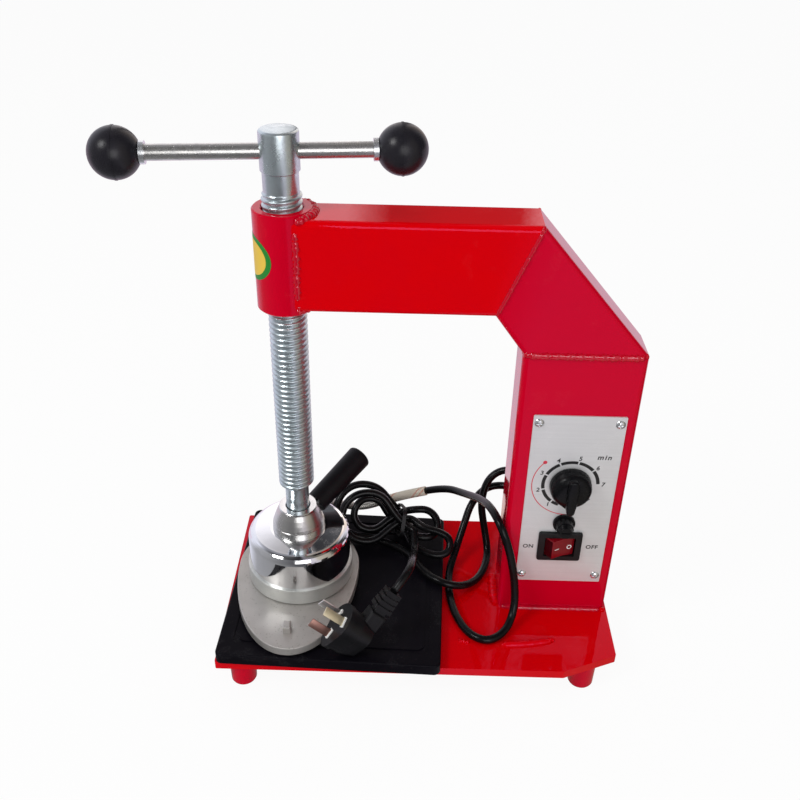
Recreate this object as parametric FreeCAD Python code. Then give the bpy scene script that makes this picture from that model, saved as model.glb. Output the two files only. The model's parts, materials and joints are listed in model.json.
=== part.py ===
import FreeCAD, Part
import math
import os
from FreeCAD import Vector

# Bench-top tire vulcanizing press, in millimetres.
# X runs along the arm, Y to the rear, Z up. The origin is on the floor, under the middle of the
# machine without its cords.

# Base and feet
FOOT_RADIUS = 10.0
FOOT_HEIGHT = 21.0
BASE_THICKNESS = 7.0
BASE_TOP = FOOT_HEIGHT + BASE_THICKNESS
BASE_LEFT = -121.0
BASE_RIGHT = 177.8
BASE_FRONT = -80.5
BASE_BACK = 87.4
CHAMFER_ALONG_X = 41.0
CHAMFER_ALONG_Y = 17.0
FEET = {
    "foot_front_left": (-102.5, -68.5),
    "foot_front_right": (154.0, -62.5),
    "foot_rear_left": (-102.5, 75.0),
    "foot_rear_right": (154.0, 69.5),
}

# Frame: column, elbow and arm are rectangular tube with welded mitres
WALL = 3.0
TUBE_FRONT = -16.0
TUBE_BACK = 20.0
TUBE_CORNER = 4.0
COLUMN_LEFT = 92.0
COLUMN_RIGHT = 176.0
COLUMN_TOP = BASE_TOP + 229.4
ARM_BOTTOM = BASE_TOP + 256.6
ARM_TOP = BASE_TOP + 319.0
ELBOW_INNER_X = 72.0
ELBOW_OUTER_X = 98.0

# Screw axis and press screw
SCREW_X = -65.0
SCREW_Y = 2.0
BOSS_RADIUS = 19.5
BOSS_BOTTOM = ARM_BOTTOM - 3.0
BOSS_TOP = ARM_TOP + 3.0
SCREW_RADIUS = 13.0
SCREW_CLEARANCE = 0.06
THREAD_PITCH = 4.0
THREAD_DEPTH = 1.6
THREAD_BOTTOM = 135.0
THREAD_TURNS = 56
TIP_RADIUS = 8.7
NECK_RADIUS = 11.5
NECK_TOP = 373.0
SCREW_HEAD_RADIUS = 12.5
SCREW_HEAD_TOP = 398.6

# Tommy bar, turned a little so that its short end points to the rear
BAR_RADIUS = 5.0
BAR_CLEARANCE = 0.08
BAR_HEIGHT = 385.0
BAR_TURN = 6.5
BAR_SHORT = 75.0
BAR_LONG = 97.4
BALL_RADIUS = 16.0
COLLAR_RADIUS = 7.0
COLLAR_WIDTH = 3.0

# Tray, lower hot plate and its heater
TRAY_WIDTH = 166.0
TRAY_DEPTH = 167.0
TRAY_X = -34.6
TRAY_Y = -1.0
TRAY_TURN = -2.0
TRAY_BOTTOM = BASE_TOP
TRAY_TOP = 37.0
TRAY_SHEET = 2.0
TRAY_HOLE = 36.0
PLATE_X = -67.1
PLATE_Y = 8.3
PLATE_RADIUS = 47.9
PLATE_FRONT_REACH = 91.0
PLATE_BOTTOM = 39.6
PLATE_TOP = 46.2
LUG_SIZE = (5.4, 8.0, 6.0)
LUG_X = -68.2
LUG_Y = -64.0

# Upper heating head
HEAD_GAP = 0.3
BLOCK_RADIUS = 40.8
CAP_RADIUS = 39.2
CAP_WALL = 1.5
BLOCK_BOTTOM = PLATE_TOP + HEAD_GAP
CAP_BOTTOM = 60.3
CAP_SHOULDER = 83.5
CAP_SHOULDER_RADIUS = 7.0
CUP_BASE = 91.6
CUP_TOP = 112.0
CUP_TOP_RADIUS = 14.4
CUP_BASE_RADIUS = 20.1
CUP_BORE = 11.4
CUP_FLOOR = 94.0
HANDLE_TURN = 50.0
HANDLE_RISE = 19.9
HANDLE_HEIGHT = 95.3
HANDLE_REACH = 74.1
GRIP_START = 20.4
GRIP_RADIUS = 9.8
GRIP_SMALL_RADIUS = 8.7
HANDLE_ROD_RADIUS = 3.5
LEAD_EXIT_TURN = 78.0
LEAD_EXIT_HEIGHT = 68.0

# Control panel on the column's front
PANEL_LEFT = COLUMN_LEFT + 11.6
PANEL_WIDTH = 64.6
PANEL_BOTTOM = BASE_TOP + 30.3
PANEL_HEIGHT = 152.7
PANEL_THICKNESS = 1.0
PANEL_FRONT = TUBE_FRONT - PANEL_THICKNESS
PANEL_SCREW_INSET_X = 4.2
PANEL_SCREW_INSET_Z = 6.4
KNOB_X = COLUMN_LEFT + 43.2
KNOB_Z = BASE_TOP + 124.0
KNOB_SKIRT_RADIUS = 15.6
KNOB_POINTER_REACH = 18.0
KNOB_HEIGHT = 15.0
FUSE_X = COLUMN_LEFT + 42.6
FUSE_Z = BASE_TOP + 88.4
FUSE_FLANGE_RADIUS = 8.2
SWITCH_X = COLUMN_LEFT + 41.6
SWITCH_Z = BASE_TOP + 66.2
SWITCH_WIDTH = 32.6
SWITCH_HEIGHT = 26.8

# Cords
CORD_RADIUS = 3.1
GLAND_X = 112.0
MAINS_GLAND_Z = 101.0
LEAD_GLAND_Z = 84.0
GLAND_LENGTH = 22.0

# Mains cord from its gland, round behind the column, down to the base, over the head lead
# and on to the tied hank
MAINS_ROUTE = [
    (GLAND_X, TUBE_BACK + GLAND_LENGTH, MAINS_GLAND_Z),
    (GLAND_X, 57.0, MAINS_GLAND_Z),
    (100.0, 69.0, 101.5),
    (85.0, 66.5, 93.0),
    (79.5, 58.0, 74.0),
    (83.5, 53.0, 52.0),
    (87.5, 44.0, 33.6),
    (84.5, 26.0, 31.2),
    (76.0, 8.0, 31.6),
    (63.0, -4.0, 36.4),
    (48.0, -5.0, 40.8),
    (34.5, 6.0, 40.4),
    (26.0, 20.0, 40.4),
]

# Heater lead from the head: sleeve end, up past the column's left face, down its front,
# a flat loop on the base, and up again to its gland
LEAD_ROUTE = [
    (34.0, 75.0, 70.5),
    (49.75, 70.05, 78.6),
    (65.5, 51.0, 87.6),
    (77.0, 22.0, 105.0),
    (82.5, -4.0, 117.0),
    (89.5, -22.0, 112.0),
    (97.5, -25.5, 88.0),
    (102.5, -26.0, 60.0),
    (103.0, -32.0, 41.0),
    (96.5, -45.5, 31.6),
    (82.0, -57.0, 31.3),
    (67.0, -49.0, 31.2),
    (57.5, -29.0, 31.3),
    (53.5, -6.0, 31.2),
    (53.8, 17.0, 31.8),
    (59.5, 35.0, 39.0),
    (66.0, 50.0, 53.5),
    (72.0, 61.5, 69.5),
    (84.0, 71.0, 79.5),
    (101.0, 70.5, 83.0),
    (GLAND_X, 58.0, LEAD_GLAND_Z),
    (GLAND_X, TUBE_BACK + GLAND_LENGTH, LEAD_GLAND_Z),
]

# Sleeved end of the heater lead: braid from the head, then glass-fibre sleeve
SLEEVE_ROUTE = [
    (-55.69, 45.82, LEAD_EXIT_HEIGHT),
    (-52.78, 59.52, LEAD_EXIT_HEIGHT),
    (-41.0, 73.5, 55.0),
    (-21.0, 81.5, 45.5),
    (-2.25, 81.0, 53.5),
    (16.5, 80.5, 61.5),
    (34.0, 75.0, 70.5),
]
BRAID_POINTS = 5
SLEEVE_RADIUS = 3.9
BRAID_RADIUS = 3.4

# Lead from the hank to the plug
PLUG_ROUTE = [
    (25.0, 37.5, 54.0),
    (25.6, 24.5, 47.0),
    (24.4, 8.0, 56.5),
    (23.6, -9.0, 72.0),
    (23.4, -28.0, 85.5),
    (20.4, -48.6, 91.9),
    (9.88, -55.99, 79.64),
]

# Tied hank, a figure of eight. Its strands cross at the waist in layers, front to back.
WAIST = (13.0, 55.0, 54.5)
HANK_LEFT = (-20.0, -2.0, 4.0)
HANK_UP = (-4.5, 10.5, 20.4)
STRAND_SLOPE = 38.0
LAYER_STEP = 6.8
STRAND_OFFSET = 4.3
BACK_LAYER = -1.65
INNER_LAYER = 0.6
LEFT_LOOPS = [
    {"radius": 21.9, "reach": 31.7, "lift": (0.1, 0.4, 3.6)},
    {"radius": 12.9, "reach": 25.2, "lift": (-0.4, 0.5, 0.6)},
    {"radius": 20.7, "reach": 29.8, "lift": (0.0, -0.2, 0.7)},
]
LEFT_LOOP_LAYER = 1.1
LEFT_LOOP_RISE = 0.35
RIGHT_LOOPS = [
    {
        "low": ((31.9, 40.5, 48.4), (0.98, -0.16, -0.07)),
        "tip": ((44.4, 51.1, 52.8), (0.0, 0.79, 0.92)),
        "high": ((31.0, 61.1, 61.5), (-1.0, -0.02, 0.0)),
    },
    {
        "low": ((36.1, 27.8, 42.35), (0.9, -0.37, -0.2)),
        "tip": ((54.7, 33.4, 46.6), (0.08, 0.79, 0.69)),
        "high": ((39.4, 42.1, 55.4), (-1.02, 0.15, 0.11)),
    },
]
TIE_WIDTH = 3.0
TIE_THICKNESS = 1.0

# Plug, leaning back on its rear corner with its blades over the hot plate and its cord end raised
PLUG_CENTRE = (-29.1, -73.5, 65.0)
PLUG_TURN = 34.9
PLUG_RISE = 43.6
PLUG_PITCH = 66.6
PLUG_WIDE_RADIUS = 14.5
PLUG_WIDE_OFFSET = 1.0
PLUG_TAIL_RADIUS = 9.0
PLUG_TAIL_OFFSET = -11.5
PLUG_DEPTH = 25.0
BLADE_LENGTH = 18.0
BLADE_THICKNESS = 1.5
BLADE_WIDTH = 6.4
LIVE_BLADE_OFFSET = (3.96, 6.86)
EARTH_BLADE_OFFSET = -10.3
RELIEF_DEPTH = 20.0
RELIEF_END = 40.5


def vec(p):
    """A point or direction as a vector."""
    return Vector(*p)


def block(x0, x1, y0, y1, z0, z1):
    """A box between two opposite corners."""
    return Part.makeBox(x1 - x0, y1 - y0, z1 - z0, Vector(x0, y0, z0))


def rod(radius, start, end):
    """A round bar between two points."""
    a = vec(start)
    b = vec(end)
    return Part.makeCylinder(radius, a.distanceToPoint(b), a, b - a)


def taper(radius_a, radius_b, start, end):
    """A cone frustum between two points."""
    a = vec(start)
    b = vec(end)
    return Part.makeCone(radius_a, radius_b, a.distanceToPoint(b), a, b - a)


def turned(profile, x, y):
    """A solid turned about the vertical axis through x, y. The profile is closed (radius, z)."""
    points = [Vector(x + r, y, z) for r, z in profile]
    face = Part.Face(Part.makePolygon(points + points[:1]))
    return face.revolve(Vector(x, y, 0), Vector(0, 0, 1), 360)


def ring(inner, outer, z0, z1, x, y):
    """A flat ring about the vertical axis through x, y."""
    return turned([(inner, z0), (outer, z0), (outer, z1), (inner, z1)], x, y)


def plate_xz(points, y0, y1):
    """A prism of an outline in the XZ plane, from y0 to y1."""
    outline = [Vector(x, y0, z) for x, z in points]
    face = Part.Face(Part.makePolygon(outline + outline[:1]))
    return face.extrude(Vector(0, y1 - y0, 0))


def plate_xy(points, z0, z1):
    """A prism of an outline in the XY plane, from z0 to z1."""
    outline = [Vector(x, y, z0) for x, y in points]
    face = Part.Face(Part.makePolygon(outline + outline[:1]))
    return face.extrude(Vector(0, 0, z1 - z0))


def edges_where(shape, test):
    """The straight edges of a shape whose two end points pass a test."""
    chosen = []
    for edge in shape.Edges:
        ends = [v.Point for v in edge.Vertexes]
        if len(ends) == 2 and test(ends[0], ends[1]):
            chosen.append(edge)
    return chosen


def upright(a, b):
    """Is the edge from a to b vertical?"""
    return abs(a.x - b.x) < 0.01 and abs(a.y - b.y) < 0.01


def along_y(a, b):
    """Is the edge from a to b parallel to Y?"""
    return abs(a.x - b.x) < 0.01 and abs(a.z - b.z) < 0.01


def at_angle(turn, radius, z):
    """A point about the screw axis, turned from +X towards +Y."""
    a = math.radians(turn)
    return (SCREW_X + radius * math.cos(a), SCREW_Y + radius * math.sin(a), z)


def make_base_plate():
    """Steel base with its right-hand corners cut off."""
    inner_x = BASE_RIGHT - CHAMFER_ALONG_X
    outline = [
        (BASE_LEFT, BASE_FRONT),
        (inner_x, BASE_FRONT),
        (BASE_RIGHT, BASE_FRONT + CHAMFER_ALONG_Y),
        (BASE_RIGHT, BASE_BACK - CHAMFER_ALONG_Y),
        (inner_x, BASE_BACK),
        (BASE_LEFT, BASE_BACK),
    ]
    plate = plate_xy(outline, FOOT_HEIGHT, BASE_TOP)
    return plate.makeFillet(1.5, edges_where(plate, upright))


def make_foot(x, y):
    """A stub foot, slightly tapered, with a rounded lower edge."""
    profile = [
        (0, 0),
        (FOOT_RADIUS - 2.0, 0),
        (FOOT_RADIUS - 1.0, 0.4),
        (FOOT_RADIUS - 0.5, 1.4),
        (FOOT_RADIUS, FOOT_HEIGHT),
        (0, FOOT_HEIGHT),
    ]
    return turned(profile, x, y)


def mitre_x(z):
    """X of the mitre between elbow and arm at a height."""
    share = (z - ARM_BOTTOM) / (ARM_TOP - ARM_BOTTOM)
    return ELBOW_INNER_X + share * (ELBOW_OUTER_X - ELBOW_INNER_X)


def tube_section(outer, inner, long_edges):
    """A welded tube: an outer prism with rounded long edges, less its hollow."""
    solid = plate_xz(outer, TUBE_FRONT, TUBE_BACK)
    solid = solid.makeFillet(TUBE_CORNER, edges_where(solid, long_edges))
    return solid.cut(plate_xz(inner, TUBE_FRONT + WALL, TUBE_BACK - WALL))


def make_column():
    """Upright tube, open into the elbow, with the cut-outs for the controls and the cord glands."""
    outer = [
        (COLUMN_LEFT, BASE_TOP),
        (COLUMN_RIGHT, BASE_TOP),
        (COLUMN_RIGHT, COLUMN_TOP),
        (COLUMN_LEFT, COLUMN_TOP),
    ]
    inner = [
        (COLUMN_LEFT + WALL, BASE_TOP),
        (COLUMN_RIGHT - WALL, BASE_TOP),
        (COLUMN_RIGHT - WALL, COLUMN_TOP),
        (COLUMN_LEFT + WALL, COLUMN_TOP),
    ]
    column = tube_section(outer, inner, upright)
    window = block(
        PANEL_LEFT + 6, PANEL_LEFT + PANEL_WIDTH - 6, TUBE_FRONT - 1, TUBE_FRONT + WALL + 1,
        PANEL_BOTTOM + 12, PANEL_BOTTOM + PANEL_HEIGHT - 12,
    )
    column = column.cut(window)
    for x, z in panel_screw_places():
        column = column.cut(rod(1.6, (x, TUBE_FRONT - 1, z), (x, TUBE_FRONT + WALL + 1, z)))
    for z in (MAINS_GLAND_Z, LEAD_GLAND_Z):
        column = column.cut(rod(5.0, (GLAND_X, TUBE_BACK - WALL - 1, z), (GLAND_X, TUBE_BACK + 1, z)))
    return column


def make_elbow():
    """Slanted box section between column and arm."""
    outer = [
        (COLUMN_LEFT, COLUMN_TOP),
        (COLUMN_RIGHT, COLUMN_TOP),
        (ELBOW_OUTER_X, ARM_TOP),
        (ELBOW_INNER_X, ARM_BOTTOM),
    ]
    inner = [
        (COLUMN_LEFT + WALL, COLUMN_TOP),
        (COLUMN_RIGHT - WALL, COLUMN_TOP),
        (mitre_x(ARM_TOP - WALL), ARM_TOP - WALL),
        (mitre_x(ARM_BOTTOM + WALL), ARM_BOTTOM + WALL),
    ]

    def slanted_side(a, b):
        low = min(a.z, b.z)
        return abs(a.y - b.y) < 0.01 and abs(low - COLUMN_TOP) < 0.01 and abs(a.z - b.z) > 1

    return tube_section(outer, inner, slanted_side)


def make_arm():
    """Horizontal tube from the elbow to the screw boss, coped to fit round the boss."""
    outer = [
        (SCREW_X, ARM_BOTTOM),
        (ELBOW_INNER_X, ARM_BOTTOM),
        (ELBOW_OUTER_X, ARM_TOP),
        (SCREW_X, ARM_TOP),
    ]
    inner = [
        (SCREW_X, ARM_BOTTOM + WALL),
        (mitre_x(ARM_BOTTOM + WALL), ARM_BOTTOM + WALL),
        (mitre_x(ARM_TOP - WALL), ARM_TOP - WALL),
        (SCREW_X, ARM_TOP - WALL),
    ]

    def lengthwise(a, b):
        return abs(a.y - b.y) < 0.01 and abs(a.z - b.z) < 0.01

    arm = tube_section(outer, inner, lengthwise)
    boss_space = rod(BOSS_RADIUS, (SCREW_X, SCREW_Y, BOSS_BOTTOM - 1), (SCREW_X, SCREW_Y, BOSS_TOP + 1))
    return arm.cut(boss_space)


def make_boss():
    """Thick-walled nut tube that the press screw runs in."""
    bore = SCREW_RADIUS + SCREW_CLEARANCE
    profile = [
        (bore, BOSS_BOTTOM + 1.0),
        (bore + 1.0, BOSS_BOTTOM),
        (BOSS_RADIUS - 1.0, BOSS_BOTTOM),
        (BOSS_RADIUS, BOSS_BOTTOM + 1.0),
        (BOSS_RADIUS, BOSS_TOP - 1.0),
        (BOSS_RADIUS - 1.0, BOSS_TOP),
        (bore + 1.0, BOSS_TOP),
        (bore, BOSS_TOP - 1.0),
    ]
    return turned(profile, SCREW_X, SCREW_Y)


def turned_on_tray(shape):
    """Turn a shape about the tray's middle, as the tray sits askew on the base."""
    shape.rotate(Vector(TRAY_X, TRAY_Y, 0), Vector(0, 0, 1), TRAY_TURN)
    return shape


def make_tray():
    """Folded sheet tray, open below, with a pressed border groove, slots and a hole for the heater."""
    x0 = TRAY_X - TRAY_WIDTH / 2
    x1 = TRAY_X + TRAY_WIDTH / 2
    y0 = TRAY_Y - TRAY_DEPTH / 2
    y1 = TRAY_Y + TRAY_DEPTH / 2
    outside = block(x0, x1, y0, y1, TRAY_BOTTOM, TRAY_TOP)
    outside = outside.makeFillet(5.0, edges_where(outside, upright))
    rim = [e for e in outside.Edges if e.BoundBox.ZMin > TRAY_TOP - 0.01]
    outside = outside.makeFillet(1.5, rim)
    inside = block(
        x0 + TRAY_SHEET, x1 - TRAY_SHEET, y0 + TRAY_SHEET, y1 - TRAY_SHEET,
        TRAY_BOTTOM - 1, TRAY_TOP - TRAY_SHEET,
    )
    tray = outside.cut(inside)
    groove_top = TRAY_TOP - 0.9
    groove_outer = block(x0 + 11, x1 - 9, y0 + 11, y1 - 11, groove_top, TRAY_TOP + 1)
    groove_outer = groove_outer.makeFillet(7.0, edges_where(groove_outer, upright))
    groove_inner = block(x0 + 15, x1 - 13, y0 + 15, y1 - 15, groove_top - 1, TRAY_TOP + 2)
    groove_inner = groove_inner.makeFillet(5.0, edges_where(groove_inner, upright))
    tray = tray.cut(groove_outer.cut(groove_inner))
    for y in (y1 - 24.0, y1 - 34.0):
        tray = tray.cut(block(x1 - 66, x1 - 38, y - 1.2, y + 1.2, TRAY_TOP - TRAY_SHEET - 1, TRAY_TOP + 1))
    tray = turned_on_tray(tray)
    hole = rod(TRAY_HOLE, (SCREW_X, SCREW_Y, TRAY_BOTTOM), (SCREW_X, SCREW_Y, TRAY_TOP + 1))
    return tray.cut(hole)


def egg_face(z):
    """The hot plate's outline: a half circle at the rear and a half ellipse to the front."""
    left = Vector(PLATE_X - PLATE_RADIUS, PLATE_Y, z)
    right = Vector(PLATE_X + PLATE_RADIUS, PLATE_Y, z)
    rear = Part.Arc(right, Vector(PLATE_X, PLATE_Y + PLATE_RADIUS, z), left).toShape()
    centre = Vector(PLATE_X, PLATE_Y, z)
    tip = Vector(PLATE_X, PLATE_Y - PLATE_FRONT_REACH, z)
    ellipse = Part.Ellipse(tip, right, centre)
    front = Part.ArcOfEllipse(ellipse, -math.pi / 2, math.pi / 2).toShape()
    return Part.Face(Part.Wire([rear, front]))


def make_lower_plate():
    """Cast egg-shaped hot plate."""
    body = egg_face(PLATE_BOTTOM).extrude(Vector(0, 0, PLATE_TOP - PLATE_BOTTOM))
    rim = [e for e in body.Edges if e.BoundBox.ZMin > PLATE_TOP - 0.01]
    return body.makeFillet(0.8, rim)


def make_plate_lug():
    """Locating lug that stands on the front of the hot plate."""
    width, depth, height = LUG_SIZE
    lug = block(
        LUG_X - width / 2, LUG_X + width / 2, LUG_Y - depth / 2, LUG_Y + depth / 2,
        PLATE_TOP, PLATE_TOP + height,
    )
    return lug.makeFillet(1.2, edges_where(lug, lambda a, b: min(a.z, b.z) > PLATE_TOP))


def make_lower_heater():
    """Flat ring heater clamped under the hot plate."""
    return ring(12.0, 34.0, PLATE_BOTTOM - 3.6, PLATE_BOTTOM, SCREW_X, SCREW_Y)


def make_lower_insulator():
    """Mica and fibre disc between heater and base, with a recess for the thermostat."""
    return ring(12.0, 35.0, BASE_TOP, PLATE_BOTTOM - 3.6, SCREW_X, SCREW_Y)


def make_lower_thermostat():
    """Snap-disc thermostat held against the middle of the hot plate's underside."""
    top = PLATE_BOTTOM
    body = ring(0, 8.0, top - 8.0, top, SCREW_X, SCREW_Y)
    base = ring(0, 6.0, top - 11.0, top - 8.0, SCREW_X, SCREW_Y)
    return body.fuse(base)


def make_block():
    """Aluminium heating block with the flat face that presses the patch."""
    profile = [
        (0, BLOCK_BOTTOM),
        (BLOCK_RADIUS - 0.8, BLOCK_BOTTOM),
        (BLOCK_RADIUS, BLOCK_BOTTOM + 0.8),
        (BLOCK_RADIUS, CAP_BOTTOM - 0.4),
        (BLOCK_RADIUS - 0.4, CAP_BOTTOM),
        (0, CAP_BOTTOM),
    ]
    block_solid = turned(profile, SCREW_X, SCREW_Y)
    hole = rod(4.0, (SCREW_X, SCREW_Y, CAP_BOTTOM - 9.0), (SCREW_X, SCREW_Y, CAP_BOTTOM + 1))
    return block_solid.cut(hole)


def make_upper_heater():
    """Ring heater lying on the block inside the cap."""
    return ring(12.0, 33.0, CAP_BOTTOM, CAP_BOTTOM + 5.0, SCREW_X, SCREW_Y)


def make_upper_insulation():
    """Heat insulation above the ring heater."""
    return ring(6.0, 34.0, CAP_BOTTOM + 5.0, CAP_BOTTOM + 11.0, SCREW_X, SCREW_Y)


def make_cap():
    """Deep-drawn chromed cap with a rounded shoulder and a hole for the heater lead."""
    inner = CAP_RADIUS - CAP_WALL
    outside = []
    inside = []
    for step in range(9):
        a = math.radians(90.0 * step / 8)
        middle = CAP_RADIUS - CAP_SHOULDER_RADIUS
        small = CAP_SHOULDER_RADIUS - CAP_WALL
        level, rise = math.cos(a), math.sin(a)
        outside.append((middle + CAP_SHOULDER_RADIUS * level, CAP_SHOULDER + CAP_SHOULDER_RADIUS * rise))
        inside.append((middle + small * level, CAP_SHOULDER + small * rise))
    profile = [(CAP_RADIUS, CAP_BOTTOM)]
    profile += outside
    profile += [
        (CUP_BASE_RADIUS + 2.0, CUP_BASE),
        (8.0, CUP_BASE),
        (8.0, CUP_BASE - CAP_WALL),
        (CUP_BASE_RADIUS + 2.0, CUP_BASE - CAP_WALL),
    ]
    profile += inside[::-1]
    profile.append((inner, CAP_BOTTOM))
    cap = turned(profile, SCREW_X, SCREW_Y)
    hole_start = at_angle(LEAD_EXIT_TURN, 30, LEAD_EXIT_HEIGHT)
    hole_end = at_angle(LEAD_EXIT_TURN, 45, LEAD_EXIT_HEIGHT)
    return cap.cut(rod(5.0, hole_start, hole_end))


def make_lead_bush():
    """Steel bush that the braided lead leaves the cap through."""
    inside = at_angle(LEAD_EXIT_TURN, CAP_RADIUS - 5.0, LEAD_EXIT_HEIGHT)
    outside = at_angle(LEAD_EXIT_TURN, CAP_RADIUS + 5.5, LEAD_EXIT_HEIGHT)
    flange = at_angle(LEAD_EXIT_TURN, CAP_RADIUS + 0.5, LEAD_EXIT_HEIGHT)
    flange_end = at_angle(LEAD_EXIT_TURN, CAP_RADIUS + 3.0, LEAD_EXIT_HEIGHT)
    return rod(5.0, inside, outside).fuse(rod(6.5, flange, flange_end))


def make_cup():
    """Turned steel cup that carries the head: a cone above, a threaded stud down through the cap."""
    profile = [
        (0, CAP_BOTTOM - 8.0),
        (4.0, CAP_BOTTOM - 8.0),
        (4.0, CAP_BOTTOM + 11.0),
        (7.9, CAP_BOTTOM + 11.0),
        (7.9, CUP_BASE),
        (CUP_BASE_RADIUS - 0.4, CUP_BASE),
        (CUP_BASE_RADIUS, CUP_BASE + 0.4),
        (CUP_BASE_RADIUS - 0.2, CUP_BASE + 3.0),
        (CUP_BASE_RADIUS - 0.5, CUP_BASE + 5.7),
        (CUP_BASE_RADIUS - 0.9, CUP_BASE + 6.0),
        (CUP_BASE_RADIUS - 1.3, CUP_BASE + 8.1),
        (CUP_BASE_RADIUS - 2.4, CUP_BASE + 11.4),
        (CUP_BASE_RADIUS - 3.9, CUP_BASE + 15.4),
        (CUP_TOP_RADIUS + 0.1, CUP_TOP - 1.5),
        (CUP_TOP_RADIUS + 0.1, CUP_TOP - 0.9),
        (CUP_BORE + 1.0, CUP_TOP - 0.9),
        (CUP_BORE + 1.0, CUP_TOP - 4.5),
        (CUP_BORE, CUP_TOP - 4.5),
        (CUP_BORE, CUP_FLOOR),
        (0, CUP_FLOOR),
    ]
    cup = turned(profile, SCREW_X, SCREW_Y)
    return cup.cut(handle_piece(HANDLE_ROD_RADIUS, 12.5, 30.0))


def make_cup_nut():
    """Ring screwed into the top of the cup, which keeps the screw's tip in."""
    profile = [
        (TIP_RADIUS + 0.6, CUP_TOP - 4.5),
        (CUP_BORE + 1.0, CUP_TOP - 4.5),
        (CUP_BORE + 1.0, CUP_TOP - 0.9),
        (CUP_TOP_RADIUS, CUP_TOP - 0.9),
        (CUP_TOP_RADIUS, CUP_TOP - 0.5),
        (CUP_TOP_RADIUS - 0.5, CUP_TOP),
        (TIP_RADIUS + 0.9, CUP_TOP),
        (TIP_RADIUS + 0.6, CUP_TOP - 0.3),
    ]
    return turned(profile, SCREW_X, SCREW_Y)


def handle_point(distance):
    """A point on the handle's axis, at a distance from the screw axis."""
    rise = math.radians(HANDLE_RISE)
    return at_angle(HANDLE_TURN, distance * math.cos(rise), HANDLE_HEIGHT + distance * math.sin(rise))


def handle_piece(radius, start, end):
    """A round bar on the handle's axis."""
    return rod(radius, handle_point(start), handle_point(end))


def make_handle_rod():
    """Steel rod screwed into the side of the cup."""
    return handle_piece(HANDLE_ROD_RADIUS, 12.5, HANDLE_REACH - 6.0)


def make_handle_grip():
    """Moulded black grip on the handle rod, a little thinner towards the cup."""
    grip = taper(GRIP_SMALL_RADIUS, GRIP_RADIUS, handle_point(GRIP_START), handle_point(HANDLE_REACH))
    round_edges = [e for e in grip.Edges if e.Curve.TypeId == "Part::GeomCircle"]
    far = [e for e in round_edges if abs(e.Curve.Radius - GRIP_RADIUS) < 0.01]
    grip = grip.makeFillet(2.5, far)
    return grip.cut(handle_piece(HANDLE_ROD_RADIUS, GRIP_START - 1, HANDLE_REACH - 6.0))


def make_thrust_washer():
    """Bronze washer at the bottom of the cup, under the screw's tip."""
    return ring(0, TIP_RADIUS - 0.5, CUP_FLOOR, CUP_FLOOR + 3.0, SCREW_X, SCREW_Y)


def make_press_screw():
    """Press screw: tip with a ring groove, ridged thread, neck and cross-drilled head."""
    tip = CUP_FLOOR + 3.0
    groove_low = CUP_TOP - 8.4
    groove_high = CUP_TOP - 5.0
    root = SCREW_RADIUS - THREAD_DEPTH
    profile = [
        (0, tip),
        (TIP_RADIUS - 1.0, tip),
        (TIP_RADIUS, tip + 1.0),
        (TIP_RADIUS, groove_low),
        (TIP_RADIUS - 1.5, groove_low),
        (TIP_RADIUS - 1.5, groove_high),
        (TIP_RADIUS, groove_high),
        (TIP_RADIUS, THREAD_BOTTOM - 4.0),
        (root, THREAD_BOTTOM),
    ]
    for turn in range(THREAD_TURNS):
        z = THREAD_BOTTOM + turn * THREAD_PITCH
        crest = SCREW_RADIUS if turn > 0 else SCREW_RADIUS - 0.8
        profile.append((root, z + 0.3 * THREAD_PITCH))
        profile.append((crest, z + 0.45 * THREAD_PITCH))
        profile.append((crest, z + 0.85 * THREAD_PITCH))
        profile.append((root, z + THREAD_PITCH))
    thread_top = THREAD_BOTTOM + THREAD_TURNS * THREAD_PITCH
    profile += [
        (NECK_RADIUS, thread_top + 1.0),
        (NECK_RADIUS, NECK_TOP),
        (SCREW_HEAD_RADIUS - 0.5, NECK_TOP),
        (SCREW_HEAD_RADIUS, NECK_TOP + 0.8),
        (SCREW_HEAD_RADIUS, SCREW_HEAD_TOP - 1.6),
        (SCREW_HEAD_RADIUS - 1.6, SCREW_HEAD_TOP),
        (0, SCREW_HEAD_TOP),
    ]
    screw = turned(profile, SCREW_X, SCREW_Y)
    hole = rod(BAR_RADIUS + BAR_CLEARANCE, bar_point(-SCREW_HEAD_RADIUS - 1), bar_point(SCREW_HEAD_RADIUS + 1))
    return screw.cut(hole)


def make_split_ring():
    """Two half rings in the groove of the screw's tip, under the cup nut."""
    low = CUP_TOP - 8.3
    high = CUP_TOP - 5.1
    whole = ring(TIP_RADIUS - 1.5, CUP_BORE - 0.3, low, high, SCREW_X, SCREW_Y)
    slot = block(SCREW_X - 20, SCREW_X + 20, SCREW_Y - 0.25, SCREW_Y + 0.25, low - 1, high + 1)
    return whole.cut(slot)


def bar_point(distance):
    """A point on the tommy bar's axis, at a distance from the screw axis."""
    return at_angle(BAR_TURN, distance, BAR_HEIGHT)


def make_tommy_bar():
    """Plain round bar through the screw's head, threaded into the balls."""
    return rod(BAR_RADIUS, bar_point(-BAR_LONG + 4.0), bar_point(BAR_SHORT - 4.0))


def make_ball(distance):
    """A moulded ball knob with a parting ridge, bored for the bar."""
    centre = vec(bar_point(distance))
    axis = vec(bar_point(1.0)) - vec(bar_point(0.0))
    inward = axis * (-1.0 if distance > 0 else 1.0)
    ball = Part.makeSphere(BALL_RADIUS, centre)
    ridge = Part.makeCylinder(BALL_RADIUS + 0.3, 1.2, centre - axis * 0.6, axis)
    hole = Part.makeCylinder(BAR_RADIUS, 30.0, centre - inward * 4.0, inward)
    flat = Part.makeCylinder(20.0, 5.0, centre + inward * (BALL_RADIUS - 1.2), inward)
    return ball.fuse(ridge).cut(hole).cut(flat)


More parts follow.
